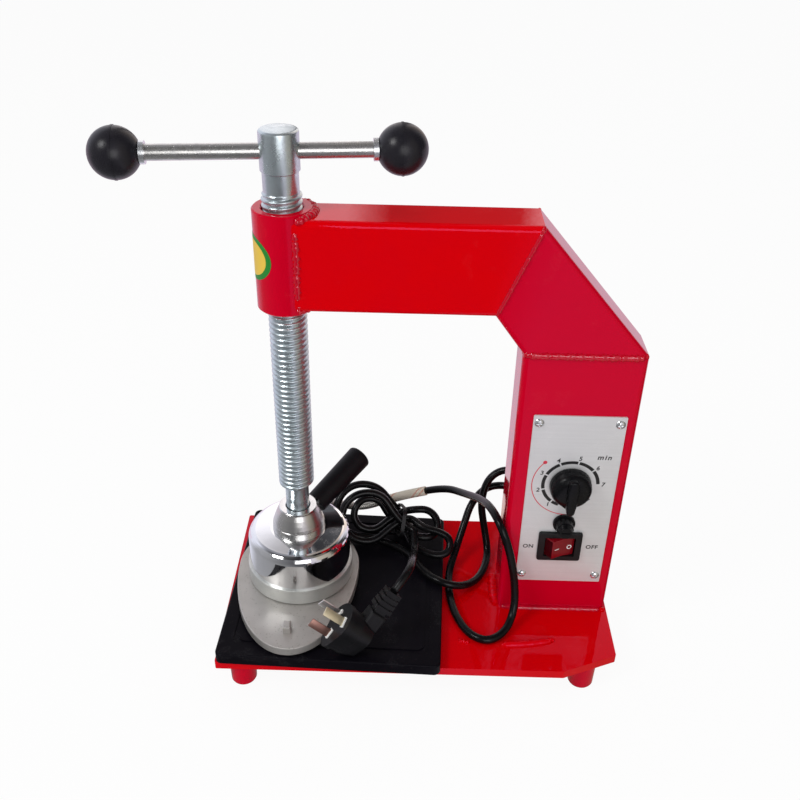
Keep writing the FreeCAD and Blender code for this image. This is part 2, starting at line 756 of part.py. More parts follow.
def make_collar(distance):
    """A short bright collar on the bar, against the ball."""
    side = -1.0 if distance > 0 else 1.0
    start = distance + side * (BALL_RADIUS - 1.2)
    end = start + side * COLLAR_WIDTH
    collar = rod(COLLAR_RADIUS, bar_point(start), bar_point(end))
    return collar.cut(rod(BAR_RADIUS, bar_point(start - side), bar_point(end + side)))


def panel_screw_places():
    """The four panel screws, as x, z."""
    xs = (PANEL_LEFT + PANEL_SCREW_INSET_X, PANEL_LEFT + PANEL_WIDTH - PANEL_SCREW_INSET_X)
    zs = (PANEL_BOTTOM + PANEL_SCREW_INSET_Z, PANEL_BOTTOM + PANEL_HEIGHT - PANEL_SCREW_INSET_Z)
    return [(x, z) for x in xs for z in zs]


def make_panel():
    """Brushed aluminium control panel with its cut-outs."""
    panel = block(
        PANEL_LEFT, PANEL_LEFT + PANEL_WIDTH, PANEL_FRONT, TUBE_FRONT,
        PANEL_BOTTOM, PANEL_BOTTOM + PANEL_HEIGHT,
    )
    panel = panel.makeFillet(1.0, edges_where(panel, along_y))
    for x, z in panel_screw_places():
        panel = panel.cut(rod(1.6, (x, PANEL_FRONT - 1, z), (x, TUBE_FRONT + 1, z)))
    panel = panel.cut(rod(5.0, (KNOB_X, PANEL_FRONT - 1, KNOB_Z), (KNOB_X, TUBE_FRONT + 1, KNOB_Z)))
    panel = panel.cut(rod(6.1, (FUSE_X, PANEL_FRONT - 1, FUSE_Z), (FUSE_X, TUBE_FRONT + 1, FUSE_Z)))
    opening = switch_body_box(PANEL_FRONT - 1, TUBE_FRONT + 1)
    return panel.cut(opening)


def make_panel_screws():
    """Four cross-head screws through panel and column."""
    screws = []
    for x, z in panel_screw_places():
        dome = Part.makeSphere(4.2, Vector(x, PANEL_FRONT + 2.4, z))
        dome = dome.common(block(x - 5, x + 5, PANEL_FRONT - 2.2, PANEL_FRONT, z - 5, z + 5))
        dome = dome.cut(block(x - 2, x + 2, PANEL_FRONT - 3, PANEL_FRONT - 0.9, z - 0.4, z + 0.4))
        dome = dome.cut(block(x - 0.4, x + 0.4, PANEL_FRONT - 3, PANEL_FRONT - 0.9, z - 2, z + 2))
        shank = rod(1.6, (x, PANEL_FRONT, z), (x, TUBE_FRONT + 6, z))
        screws.append(dome.fuse(shank))
    return Part.makeCompound(screws)


def make_timer_body():
    """Clockwork timer behind the panel, with its threaded neck and nut."""
    x, z = KNOB_X, KNOB_Z
    body = block(x - 20, x + 20, TUBE_FRONT + 0.2, TUBE_FRONT + 26, z - 20, z + 20)
    body = body.makeFillet(2.0, edges_where(body, along_y))
    neck = rod(5.0, (x, PANEL_FRONT - 0.2, z), (x, TUBE_FRONT + 0.2, z))
    bore = rod(3.05, (x, PANEL_FRONT - 1, z), (x, TUBE_FRONT + 12, z))
    return body.fuse(neck).cut(bore)


def make_timer_knob():
    """Pointer knob on its shaft: skirt, shoulder and a bar that overhangs the skirt at 6 o'clock."""
    x, z = KNOB_X, KNOB_Z
    back = PANEL_FRONT - 0.4
    skirt = taper(KNOB_SKIRT_RADIUS, KNOB_SKIRT_RADIUS - 0.6, (x, back, z), (x, back - 2.6, z))
    shoulder = taper(KNOB_SKIRT_RADIUS - 2.4, 10.5, (x, back - 2.6, z), (x, back - 10.0, z))
    bar = block(
        x - 3.4, x + 3.4, back - KNOB_HEIGHT, back - 2.0,
        z - KNOB_POINTER_REACH, z + KNOB_SKIRT_RADIUS - 3.0,
    )
    bar = bar.makeFillet(2.2, edges_where(bar, along_y))
    front = [e for e in bar.Edges if e.BoundBox.YMax < back - KNOB_HEIGHT + 0.01]
    bar = bar.makeFillet(1.0, front)
    shaft = rod(3.0, (x, back - 2.0, z), (x, TUBE_FRONT + 11, z))
    return skirt.fuse([shoulder, bar, shaft])


def make_fuse_holder():
    """Panel fuse holder: flange, barrel behind the panel and its nut."""
    x, z = FUSE_X, FUSE_Z
    flange = rod(FUSE_FLANGE_RADIUS, (x, PANEL_FRONT - 2.0, z), (x, PANEL_FRONT, z))
    barrel = rod(6.0, (x, PANEL_FRONT, z), (x, TUBE_FRONT + 30, z))
    nut = rod(8.0, (x, TUBE_FRONT + 0.2, z), (x, TUBE_FRONT + 3.2, z))
    bore = rod(4.6, (x, PANEL_FRONT - 3, z), (x, TUBE_FRONT + 28, z))
    return flange.fuse([barrel, nut]).cut(bore)


def make_fuse_cap():
    """Fluted screw cap of the fuse holder, with a plug that carries the fuse."""
    x, z = FUSE_X, FUSE_Z
    back = PANEL_FRONT - 2.05
    body = taper(6.6, 6.2, (x, back, z), (x, back - 6.5, z))
    for turn in range(12):
        a = math.radians(30 * turn)
        fx = x + 6.7 * math.cos(a)
        fz = z + 6.7 * math.sin(a)
        body = body.cut(rod(0.7, (fx, back + 1, fz), (fx, back - 5.5, fz)))
    nose = taper(5.6, 4.6, (x, back - 6.5, z), (x, back - 10.5, z))
    slot = block(x - 3.2, x + 3.2, back - 11, back - 9.6, z - 0.5, z + 0.5)
    plug = rod(4.5, (x, back, z), (x, back + 6, z))
    pocket = rod(2.55, (x, back + 2, z), (x, back + 7, z))
    return body.fuse([nose, plug]).cut(slot).cut(pocket)


def make_glass_fuse():
    """Glass tube fuse that comes out with the cap."""
    x, z = FUSE_X, FUSE_Z
    back = PANEL_FRONT - 2.05
    return rod(2.5, (x, back + 2, z), (x, back + 22, z))


def switch_body_box(y0, y1):
    """The rocker switch's body between two depths."""
    half_x = SWITCH_WIDTH / 2 - 2.4
    half_z = SWITCH_HEIGHT / 2 - 2.4
    return block(SWITCH_X - half_x, SWITCH_X + half_x, y0, y1, SWITCH_Z - half_z, SWITCH_Z + half_z)


def make_switch_housing():
    """Rocker switch housing: bezel, body behind the panel and two pivots."""
    x, z = SWITCH_X, SWITCH_Z
    bezel = block(
        x - SWITCH_WIDTH / 2, x + SWITCH_WIDTH / 2, PANEL_FRONT - 2.4, PANEL_FRONT,
        z - SWITCH_HEIGHT / 2, z + SWITCH_HEIGHT / 2,
    )
    bezel = bezel.makeFillet(2.0, edges_where(bezel, along_y))
    front = [e for e in bezel.Edges if e.BoundBox.YMax < PANEL_FRONT - 2.39]
    bezel = bezel.makeFillet(0.8, front)
    body = switch_body_box(PANEL_FRONT, TUBE_FRONT + 18)
    well = block(x - 11.5, x + 11.5, PANEL_FRONT - 3, TUBE_FRONT + 7.5, z - 8.9, z + 8.9)
    housing = bezel.fuse(body).cut(well)
    for side in (-1, 1):
        start = (x, PANEL_FRONT + 2.0, z + side * 8.9)
        end = (x, PANEL_FRONT + 2.0, z + side * 7.9)
        housing = housing.fuse(rod(1.2, start, end))
    return housing


def make_rocker():
    """Rocker on its upright pivot, with its left half out: two flats that meet in a shallow valley."""
    x, z = SWITCH_X, SWITCH_Z
    pivot_y = PANEL_FRONT + 2.0
    outline = [
        (-10.2, -5.2),
        (0, -4.2),
        (10.2, -5.2),
        (10.2, 1.0),
        (5.0, 2.6),
        (-5.0, 2.6),
        (-10.2, 1.0),
    ]
    points = [Vector(x + dx, pivot_y + dy, z - 8.3) for dx, dy in outline]
    face = Part.Face(Part.makePolygon(points + points[:1]))
    rocker = face.extrude(Vector(0, 0, 16.6))
    rocker = rocker.cut(rod(1.25, (x, pivot_y, z - 9), (x, pivot_y, z + 9)))
    rocker.rotate(Vector(x, pivot_y, z), Vector(0, 0, 1), 9.0)
    return rocker


def make_terminal_block():
    """Terminal block screwed to the inside of the column's rear wall."""
    y1 = TUBE_BACK - WALL
    body = block(122, 162, y1 - 11, y1, 64, 80)
    for i in range(4):
        x = 127 + i * 10
        body = body.cut(rod(2.2, (x, y1 - 12, 72), (x, y1 - 5, 72)))
    return body


def make_gland(z):
    """Ribbed rubber cord gland that tapers to the cord, fixed in the column's rear wall."""
    x = GLAND_X
    neck = rod(5.0, (x, TUBE_BACK - WALL, z), (x, TUBE_BACK, z))
    head = rod(7.5, (x, TUBE_BACK - WALL - 2.0, z), (x, TUBE_BACK - WALL, z))
    collar = rod(7.5, (x, TUBE_BACK, z), (x, TUBE_BACK + 3.0, z))
    sleeve = taper(5.6, CORD_RADIUS + 0.9, (x, TUBE_BACK + 3.0, z), (x, TUBE_BACK + GLAND_LENGTH, z))
    return neck.fuse([head, collar, sleeve])


def cord_wire(points, label):
    """Straight runs joined by tangent arcs, each as large as its two runs allow."""
    p = [vec(q) for q in points]
    edges = []
    radii = []
    start = p[0]
    for i in range(1, len(p) - 1):
        before = p[i - 1] - p[i]
        after = p[i + 1] - p[i]
        shorter = min(before.Length, after.Length)
        turn = math.pi - before.getAngle(after)
        cut = 0.45 * shorter
        radius = cut / math.tan(turn / 2)
        radii.append(radius)
        u = Vector(before).normalize()
        w = Vector(after).normalize()
        a = p[i] + u * cut
        b = p[i] + w * cut
        inward = (u + w).normalize()
        to_centre = radius / math.cos(turn / 2)
        middle = p[i] + inward * (to_centre - radius)
        edges.append(Part.LineSegment(start, a).toShape())
        edges.append(Part.Arc(a, middle, b).toShape())
        start = b
    edges.append(Part.LineSegment(start, p[-1]).toShape())
    wire = Part.Wire(edges)
    print(label, "length", round(wire.Length, 1), "least radius", round(min(radii), 1))
    return wire


def sweep(wire, radius, start, direction):
    """A round section carried along a wire, as a solid."""
    section = Part.Wire([Part.makeCircle(radius, start, direction)])
    shell = Part.BRepOffsetAPI.MakePipeShell(wire)
    shell.add(section)
    shell.build()
    shell.makeSolid()
    return shell.shape()


def make_cord(points, radius, label):
    """A cord's tube along a route."""
    wire = cord_wire(points, label)
    start = vec(points[0])
    tube = sweep(wire, radius, start, vec(points[1]) - start)
    expected = math.pi * radius * radius * wire.Length
    print(label, "volume", round(tube.Volume), "expected", round(expected), "valid", tube.isValid())
    return tube


def biarc(p0, t0, p1, t1):
    """Two tangent arcs from p0 along t0 to p1 along t1."""
    v = p1 - p0
    t = t0 + t1
    a = 2 * (1 - t0.dot(t1))
    b = 2 * v.dot(t)
    c = -v.dot(v)
    if abs(a) > 1e-9:
        d = (-b + math.sqrt(b * b - 4 * a * c)) / (2 * a)
    else:
        d = -c / b
    q0 = p0 + t0 * d
    q1 = p1 - t1 * d
    joint = (q0 + q1) * 0.5
    return [tangent_arc(p0, t0, joint), tangent_arc(p1, t1 * -1.0, joint, True)]


def tangent_arc(start, tangent, end, backwards=False):
    """An arc that leaves start along tangent and reaches end, or the same arc run backwards."""
    chord = end - start
    normal = chord - tangent * chord.dot(tangent)
    if normal.Length < 1e-6:
        middle = None
    else:
        radius = chord.dot(chord) / (2 * normal.Length)
        normal.normalize()
        centre = start + normal * radius
        out = (start - centre) + (end - centre)
        if chord.dot(tangent) < 0:
            out = out * -1.0
        middle = centre + out.normalize() * radius
    if backwards:
        start, end = end, start
    if middle is None:
        return Part.LineSegment(start, end).toShape()
    return Part.Arc(start, middle, end).toShape()


def hank_axes():
    """The hank's own directions: left, up and towards the front."""
    left = vec(HANK_LEFT).normalize()
    up = vec(HANK_UP)
    up = (up - left * up.dot(left)).normalize()
    return left, up, up.cross(left).normalize()


def waist_strand(falling, layer, offset):
    """Where a strand crosses the waist, and its direction.

    A falling strand runs down to the right, from a left loop. A rising strand's cord runs the
    other way along its slope, down to the left.
    """
    left, up, front = hank_axes()
    slope = math.radians(STRAND_SLOPE)
    side = 1.0 if falling else -1.0
    direction = left * (-side * math.cos(slope)) - up * math.sin(slope)
    normal = left * (-math.sin(slope)) + up * (side * math.cos(slope))
    return vec(WAIST) + normal * offset + front * (layer * LAYER_STEP), direction


def left_loop(turn):
    """Low, outer and high point of one left loop."""
    left, up, front = hank_axes()
    loop = LEFT_LOOPS[turn]
    side = 1.0 if turn == 2 else -1.0
    centre = vec(WAIST) + left * loop["reach"] + front * (side * LEFT_LOOP_LAYER * LAYER_STEP)
    centre = centre + vec(loop["lift"])
    rise = front * (-side * LEFT_LOOP_RISE * LAYER_STEP)
    radius = loop["radius"]
    return [
        (centre - up * radius + rise, left),
        (centre + left * radius, up),
        (centre + up * radius - rise, left * -1.0),
    ]


def right_loop(turn):
    """Low, outer and high point of one right loop."""
    loop = RIGHT_LOOPS[turn]
    return [(vec(p), vec(t)) for p, t in (loop["low"], loop["tip"], loop["high"])]


def hank_stations():
    """The hank's points and directions, in order along the cord."""
    stations = [(vec(MAINS_ROUTE[-1]), vec(MAINS_ROUTE[-1]) - vec(MAINS_ROUTE[-2]))]
    stations += left_loop(0)
    stations.append(waist_strand(True, BACK_LAYER, STRAND_OFFSET))
    stations += right_loop(0)
    stations.append(waist_strand(False, -INNER_LAYER, -STRAND_OFFSET))
    stations += left_loop(1)
    stations.append(waist_strand(True, BACK_LAYER, -STRAND_OFFSET))
    stations += right_loop(1)
    stations.append(waist_strand(False, INNER_LAYER, 0.0))
    stations += left_loop(2)
    stations.append(waist_strand(True, -BACK_LAYER, 0.0))
    stations.append((vec(PLUG_ROUTE[0]), vec(PLUG_ROUTE[1]) - vec(PLUG_ROUTE[0])))
    return [(p, Vector(t).normalize()) for p, t in stations]


def least_self_gap(wire, diameter, skip):
    """The least distance between a tube's surface and itself, measured on points of its middle line."""
    points = wire.discretize(Distance=2.0)
    least = 1e9
    for i, a in enumerate(points):
        for b in points[i + skip:]:
            least = min(least, a.distanceToPoint(b))
    return least - diameter


def make_hank():
    """The tied hank: three loops to the left and two to the right, as one unbroken tube."""
    stations = hank_stations()
    edges = []
    for (p0, t0), (p1, t1) in zip(stations, stations[1:]):
        edges += biarc(p0, t0, p1, t1)
    wire = Part.Wire(edges)
    radii = [e.Curve.Radius for e in edges if e.Curve.TypeId == "Part::GeomCircle"]
    gap = least_self_gap(wire, 2 * CORD_RADIUS, 9)
    lowest = wire.BoundBox.ZMin - CORD_RADIUS
    print("hank length", round(wire.Length, 1), "least radius", round(min(radii), 1))
    print("hank least self gap", round(gap, 2), "lowest", round(lowest, 1))
    tube = sweep(wire, CORD_RADIUS, stations[0][0], stations[0][1])
    expected = math.pi * CORD_RADIUS ** 2 * wire.Length
    print("hank volume", round(tube.Volume), "expected", round(expected), "valid", tube.isValid())
    return tube


def make_cord_tie():
    """Flat black tie round the hank's waist."""
    left, up, front = hank_axes()
    half_depth = -BACK_LAYER * LAYER_STEP + CORD_RADIUS + 0.5
    half_height = (STRAND_OFFSET + CORD_RADIUS) / math.cos(math.radians(STRAND_SLOPE)) + 2.1

    def hoop(grow, width):
        corners = [(-1, -1), (1, -1), (1, 1), (-1, 1)]
        middle = vec(WAIST) - left * (width / 2)
        points = []
        for sx, sy in corners:
            points.append(middle + front * (sx * (half_depth + grow)) + up * (sy * (half_height + grow)))
        face = Part.Face(Part.makePolygon(points + points[:1]))
        solid = face.extrude(left * width)
        long_edges = [e for e in solid.Edges if abs(e.Length - width) < 0.01]
        return solid.makeFillet(6.0 + grow, long_edges)

    return hoop(TIE_THICKNESS, TIE_WIDTH).cut(hoop(0.0, TIE_WIDTH + 2.0))


def plug_frame():
    """The plug's middle, its cord direction, its blade direction and the one across both."""
    a = math.radians(PLUG_TURN)
    rise = math.radians(PLUG_RISE)
    pitch = math.radians(PLUG_PITCH)
    cord = Vector(math.cos(a) * math.cos(rise), math.sin(a) * math.cos(rise), math.sin(rise))
    level = Vector(-math.sin(a), math.cos(a), 0)
    across = cord.cross(level)
    blade = level * math.cos(pitch) + across * math.sin(pitch)
    return vec(PLUG_CENTRE), cord, blade, cord.cross(blade)


def plug_outline(depth, inset):
    """The plug's egg outline in its face's plane, at a depth behind the face and drawn in by an inset."""
    centre, cord, blade, across = plug_frame()
    start = centre - blade * depth
    wide = start + cord * PLUG_WIDE_OFFSET
    tail = start + cord * PLUG_TAIL_OFFSET
    big = PLUG_WIDE_RADIUS - inset
    small = PLUG_TAIL_RADIUS - inset
    lean = (big - small) / (PLUG_WIDE_OFFSET - PLUG_TAIL_OFFSET)
    level = math.sqrt(1.0 - lean * lean)
    up = across * level - cord * lean
    down = across * -level - cord * lean
    edges = [
        Part.Arc(wide + down * big, wide + cord * big, wide + up * big).toShape(),
        Part.makeLine(wide + up * big, tail + up * small),
        Part.Arc(tail + up * small, tail - cord * small, tail + down * small).toShape(),
        Part.makeLine(tail + down * small, wide + down * big),
    ]
    return Part.Wire(edges)


def plug_block(start, end, width, thickness, depth):
    """A rectangular piece of the plug along its cord direction, about a depth behind the face."""
    centre, cord, blade, across = plug_frame()
    corner = centre + cord * start - blade * (depth - width / 2) - across * (thickness / 2)
    along = blade * -width
    outline = [corner, corner + along, corner + along + across * thickness, corner + across * thickness]
    face = Part.Face(Part.makePolygon(outline + outline[:1]))
    return face.extrude(cord * (end - start))


def make_plug_body():
    """Angled moulded plug: a flat face, a body drawn in towards the back and a ribbed strain relief."""
    centre, cord, blade, across = plug_frame()
    flange = Part.Face(plug_outline(0.0, 0.0)).extrude(blade * -4.0)
    middle = Part.Face(plug_outline(4.0, 1.2)).extrude(blade * -9.0)
    rear = Part.makeLoft([plug_outline(13.0, 1.2), plug_outline(PLUG_DEPTH, 4.6)], True, True)
    body = flange.fuse([middle, rear])
    neck = plug_block(8.0, 22.0, 14.0, 12.0, RELIEF_DEPTH)
    neck = neck.makeFillet(2.0, [e for e in neck.Edges if abs(e.Length - 14.0) < 0.01])
    core = plug_block(20.0, RELIEF_END - 0.5, 9.0, 8.0, RELIEF_DEPTH)
    ribs = []
    for i in range(4):
        start = RELIEF_END - 15.6 + 4.2 * i
        rib = plug_block(start, start + 3.0, 14.0 - 0.6 * i, 11.0 - 0.6 * i, RELIEF_DEPTH)
        ribs.append(rib)
    return body.fuse([neck, core] + ribs)


def blade_solid(offset_cord, offset_up, lean):
    """One flat blade of the plug, leaning from the cord direction by an angle."""
    centre, cord, blade, up = plug_frame()
    a = math.radians(lean)
    wide = cord * math.cos(a) + up * math.sin(a)
    thin = up * math.cos(a) - cord * math.sin(a)
    root = centre + cord * offset_cord + up * offset_up
    corner = root - wide * (BLADE_WIDTH / 2) - thin * (BLADE_THICKNESS / 2)
    outline = [
        corner,
        corner + wide * BLADE_WIDTH,
        corner + wide * BLADE_WIDTH + thin * BLADE_THICKNESS,
        corner + thin * BLADE_THICKNESS,
    ]
    face = Part.Face(Part.makePolygon(outline + outline[:1]))
    return face.extrude(blade * BLADE_LENGTH)


def make_plug_blades():
    """Two slanted live blades and the earth blade."""
    along, across = LIVE_BLADE_OFFSET
    blades = [
        blade_solid(along, -across, 30.0),
        blade_solid(along, across, -30.0),
        blade_solid(EARTH_BLADE_OFFSET, 0.0, 0.0),
    ]
    return Part.makeCompound(blades)


def build():
    """Every sub-part by name."""
    parts = {"base_plate": make_base_plate()}
    for name, (x, y) in FEET.items():
        parts[name] = make_foot(x, y)
    parts["column_tube"] = make_column()
    parts["elbow_tube"] = make_elbow()
    parts["arm_tube"] = make_arm()
    parts["screw_boss"] = make_boss()
    parts["heater_tray"] = make_tray()
    parts["lower_hot_plate"] = make_lower_plate()
    parts["plate_lug"] = make_plate_lug()
    parts["lower_heater_ring"] = make_lower_heater()
    parts["lower_insulator"] = make_lower_insulator()
    parts["lower_thermostat"] = make_lower_thermostat()
    parts["control_panel"] = make_panel()
    parts["panel_screws"] = make_panel_screws()
    parts["timer_body"] = make_timer_body()
    parts["timer_knob"] = make_timer_knob()
    parts["fuse_holder"] = make_fuse_holder()
    parts["fuse_cap"] = make_fuse_cap()
    parts["glass_fuse"] = make_glass_fuse()
    parts["switch_housing"] = make_switch_housing()
    parts["switch_rocker"] = make_rocker()
    parts["terminal_block"] = make_terminal_block()
    parts["mains_gland"] = make_gland(MAINS_GLAND_Z)
    parts["lead_gland"] = make_gland(LEAD_GLAND_Z)
    parts["press_screw"] = make_press_screw()
    parts["split_ring"] = make_split_ring()
    parts["thrust_washer"] = make_thrust_washer()
    parts["tommy_bar"] = make_tommy_bar()
    parts["ball_knob_left"] = make_ball(-BAR_LONG)
    parts["ball_knob_right"] = make_ball(BAR_SHORT)
    parts["bar_collar_left"] = make_collar(-BAR_LONG)
    parts["bar_collar_right"] = make_collar(BAR_SHORT)
    parts["head_cup"] = make_cup()
    parts["cup_nut"] = make_cup_nut()
    parts["head_cap"] = make_cap()
    parts["upper_insulation"] = make_upper_insulation()
    parts["upper_heater_ring"] = make_upper_heater()
    parts["upper_hot_block"] = make_block()
    parts["handle_rod"] = make_handle_rod()
    parts["handle_grip"] = make_handle_grip()
    parts["lead_bush"] = make_lead_bush()
    parts["lead_braid"] = make_cord(SLEEVE_ROUTE[:BRAID_POINTS], BRAID_RADIUS, "lead_braid")
    parts["lead_sleeve"] = make_cord(SLEEVE_ROUTE[BRAID_POINTS - 1:], SLEEVE_RADIUS, "lead_sleeve")
    parts["head_lead"] = make_cord(LEAD_ROUTE, CORD_RADIUS, "head_lead")
    parts["mains_cord"] = make_cord(MAINS_ROUTE, CORD_RADIUS, "mains_cord")
    parts["cord_hank"] = make_hank()
    parts["cord_tie"] = make_cord_tie()
    parts["plug_lead"] = make_cord(PLUG_ROUTE, CORD_RADIUS, "plug_lead")
    parts["plug_body"] = make_plug_body()
    parts["plug_blades"] = make_plug_blades()
    return parts


os.makedirs("parts", exist_ok=True)
for node_name, shape in build().items():
    shape.exportStep("parts/" + node_name + ".step")
    if not shape.isValid():
        print("not valid:", node_name)
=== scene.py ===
"""Looks of a bench-top vulcanizing press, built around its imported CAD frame."""

import json
import logging
import math
from dataclasses import dataclass, field
from enum import Enum
from typing import Callable, Iterable, Sequence

import bmesh
import bpy
from mathutils import Matrix, Vector

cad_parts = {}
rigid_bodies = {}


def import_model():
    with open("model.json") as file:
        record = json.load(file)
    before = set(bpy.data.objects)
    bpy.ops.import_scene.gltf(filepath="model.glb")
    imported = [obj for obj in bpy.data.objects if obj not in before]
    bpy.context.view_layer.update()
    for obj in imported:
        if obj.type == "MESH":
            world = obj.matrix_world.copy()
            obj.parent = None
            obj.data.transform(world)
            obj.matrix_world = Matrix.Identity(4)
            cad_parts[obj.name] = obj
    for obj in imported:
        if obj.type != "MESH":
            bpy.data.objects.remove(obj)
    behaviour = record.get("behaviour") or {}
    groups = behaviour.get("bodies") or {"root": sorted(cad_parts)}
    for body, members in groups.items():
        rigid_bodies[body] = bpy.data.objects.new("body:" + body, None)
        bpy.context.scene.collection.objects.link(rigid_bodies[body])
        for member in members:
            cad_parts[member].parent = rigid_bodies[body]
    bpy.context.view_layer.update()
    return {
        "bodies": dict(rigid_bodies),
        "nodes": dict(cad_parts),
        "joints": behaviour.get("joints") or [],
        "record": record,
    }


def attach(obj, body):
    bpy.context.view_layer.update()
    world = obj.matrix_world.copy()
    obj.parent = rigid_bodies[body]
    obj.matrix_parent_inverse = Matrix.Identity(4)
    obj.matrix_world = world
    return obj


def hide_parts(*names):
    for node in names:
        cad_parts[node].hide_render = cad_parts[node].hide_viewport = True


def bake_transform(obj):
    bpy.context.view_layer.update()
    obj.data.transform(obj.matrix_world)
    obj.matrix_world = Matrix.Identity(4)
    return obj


LOG = logging.getLogger("vulcanizing_press")
MM = 0.001

Point = tuple[float, float, float]
Colour = tuple[float, float, float]


class Body(Enum):
    """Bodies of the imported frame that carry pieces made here."""

    FRAME = "frame"
    BEARING = "press_bearing"
    SCREW = "screw"
    HEAD = "upper_head"
    KNOB = "timer_knob"
    ROCKER = "switch_rocker"


class Slot(Enum):
    """Material slots of the record, one named for each new piece."""

    RED_PAINT = "red_paint"
    PANEL = "panel_aluminium"
    BLACK_PLASTIC = "black_plastic"
    RED_PLASTIC = "red_plastic"
    BLACK_RUBBER = "black_rubber"
    ZINC_STEEL = "zinc_steel"
    PLUG_METAL = "plug_metal"
    BRAID = "braid"
    GLASS_FIBRE = "glass_fibre"


# ---------------------------------------------------------------- shader helpers


def new_group(
    name: str, inputs: Sequence[tuple[str, str, object]], outputs: Sequence[tuple[str, str]]
) -> bpy.types.NodeTree:
    """Start a shader node group.

    Args:
        name: the group's name.
        inputs: name, socket type and default of each input.
        outputs: name and socket type of each output.

    Returns:
        The group's node tree with its input and output nodes.
    """
    tree = bpy.data.node_groups.new(name, "ShaderNodeTree")
    for label, kind, value in inputs:
        socket = tree.interface.new_socket(name=label, in_out="INPUT", socket_type=kind)
        socket.default_value = value
    for label, kind in outputs:
        tree.interface.new_socket(name=label, in_out="OUTPUT", socket_type=kind)
    tree.nodes.new("NodeGroupInput")
    tree.nodes.new("NodeGroupOutput")
    return tree


class Wiring:
    """Adds and joins nodes in one tree."""

    def __init__(self, tree: bpy.types.NodeTree) -> None:
        """Keep the tree.

        Args:
            tree: node tree to build in.
        """
        self.tree = tree

    def node(
        self, kind: str, inputs: dict[str | int, object] | None = None, **settings: object
    ) -> bpy.types.Node:
        """Add a node.

        Args:
            kind: node type without its ShaderNode prefix.
            inputs: value or socket for each input.
            settings: node properties.

        Returns:
            The new node.
        """
        made = self.tree.nodes.new(kind if kind.startswith("Node") else "ShaderNode" + kind)
        for key, value in settings.items():
            setattr(made, key, value)
        for key, value in (inputs or {}).items():
            self.feed(made.inputs[key], value)
        return made

    def feed(self, socket: bpy.types.NodeSocket, value: object) -> None:
        """Link a socket into an input, or set the input's value.

        Args:
            socket: the input.
            value: an output socket or a plain value.
        """
        if isinstance(value, bpy.types.NodeSocket):
            self.tree.links.new(value, socket)
        elif hasattr(socket.default_value, "__len__") and not hasattr(value, "__len__"):
            socket.default_value = [value] * len(socket.default_value)
        elif hasattr(value, "__len__") and len(socket.default_value) == 4 and len(value) == 3:
            socket.default_value = (*value, 1.0)
        else:
            socket.default_value = value

    def inlet(self, name: str) -> bpy.types.NodeSocket:
        """An input of the group."""
        return next(n for n in self.tree.nodes if n.type == "GROUP_INPUT").outputs[name]

    def outlet(self, name: str, value: object) -> None:
        """Feed an output of the group."""
        self.feed(next(n for n in self.tree.nodes if n.type == "GROUP_OUTPUT").inputs[name], value)

    def place(self) -> bpy.types.NodeSocket:
        """Object coordinates."""
        return self.node("TexCoord").outputs["Object"]

    def math(self, operation: str, a: object, b: object = 0.0) -> bpy.types.NodeSocket:
        """One arithmetic step."""
        return self.node("Math", {0: a, 1: b}, operation=operation).outputs[0]

    def noise(
        self, vector: object, scale: object, detail: float = 3.0, rough: float = 0.55
    ) -> bpy.types.NodeSocket:
        """Noise value between about 0.2 and 0.8."""
        return self.node(
            "TexNoise", {"Vector": vector, "Scale": scale, "Detail": detail, "Roughness": rough}
        ).outputs["Fac"]

    def stretch(self, vector: object, scale: Point, turn: Point = (0, 0, 0)) -> bpy.types.NodeSocket:
        """Turn coordinates and scale them."""
        inverse = tuple(1.0 / s for s in scale)
        return self.node(
            "Mapping", {"Vector": vector, "Rotation": turn, "Scale": inverse}, vector_type="TEXTURE"
        ).outputs[0]

    def span(
        self, value: object, low: float, high: float, to_low: float = 0.0, to_high: float = 1.0
    ) -> bpy.types.NodeSocket:
        """Map a range to another, smoothly and clamped."""
        made = self.node("MapRange", interpolation_type="SMOOTHSTEP")
        for key, v in (
            ("Value", value), ("From Min", low), ("From Max", high), ("To Min", to_low), ("To Max", to_high)
        ):
            self.feed(made.inputs[key], v)
        return made.outputs[0]

    def blend(self, factor: object, a: object, b: object) -> bpy.types.NodeSocket:
        """Mix two colours."""
        made = self.node("Mix", data_type="RGBA")
        self.feed(made.inputs["Factor"], factor)
        self.feed(made.inputs[6], a)
        self.feed(made.inputs[7], b)
        return made.outputs[2]

    def bump(self, height: object, distance: float) -> bpy.types.NodeSocket:
        """A bump normal."""
        return self.node("Bump", {"Height": height, "Distance": distance, "Strength": 1.0}).outputs[0]

    def group(self, tree: bpy.types.NodeTree, **inputs: object) -> bpy.types.Node:
        """Place a node group with its own values."""
        made = self.node("Group", node_tree=tree)
        for key, value in inputs.items():
            self.feed(made.inputs[key.replace("_", " ")], value)
        return made


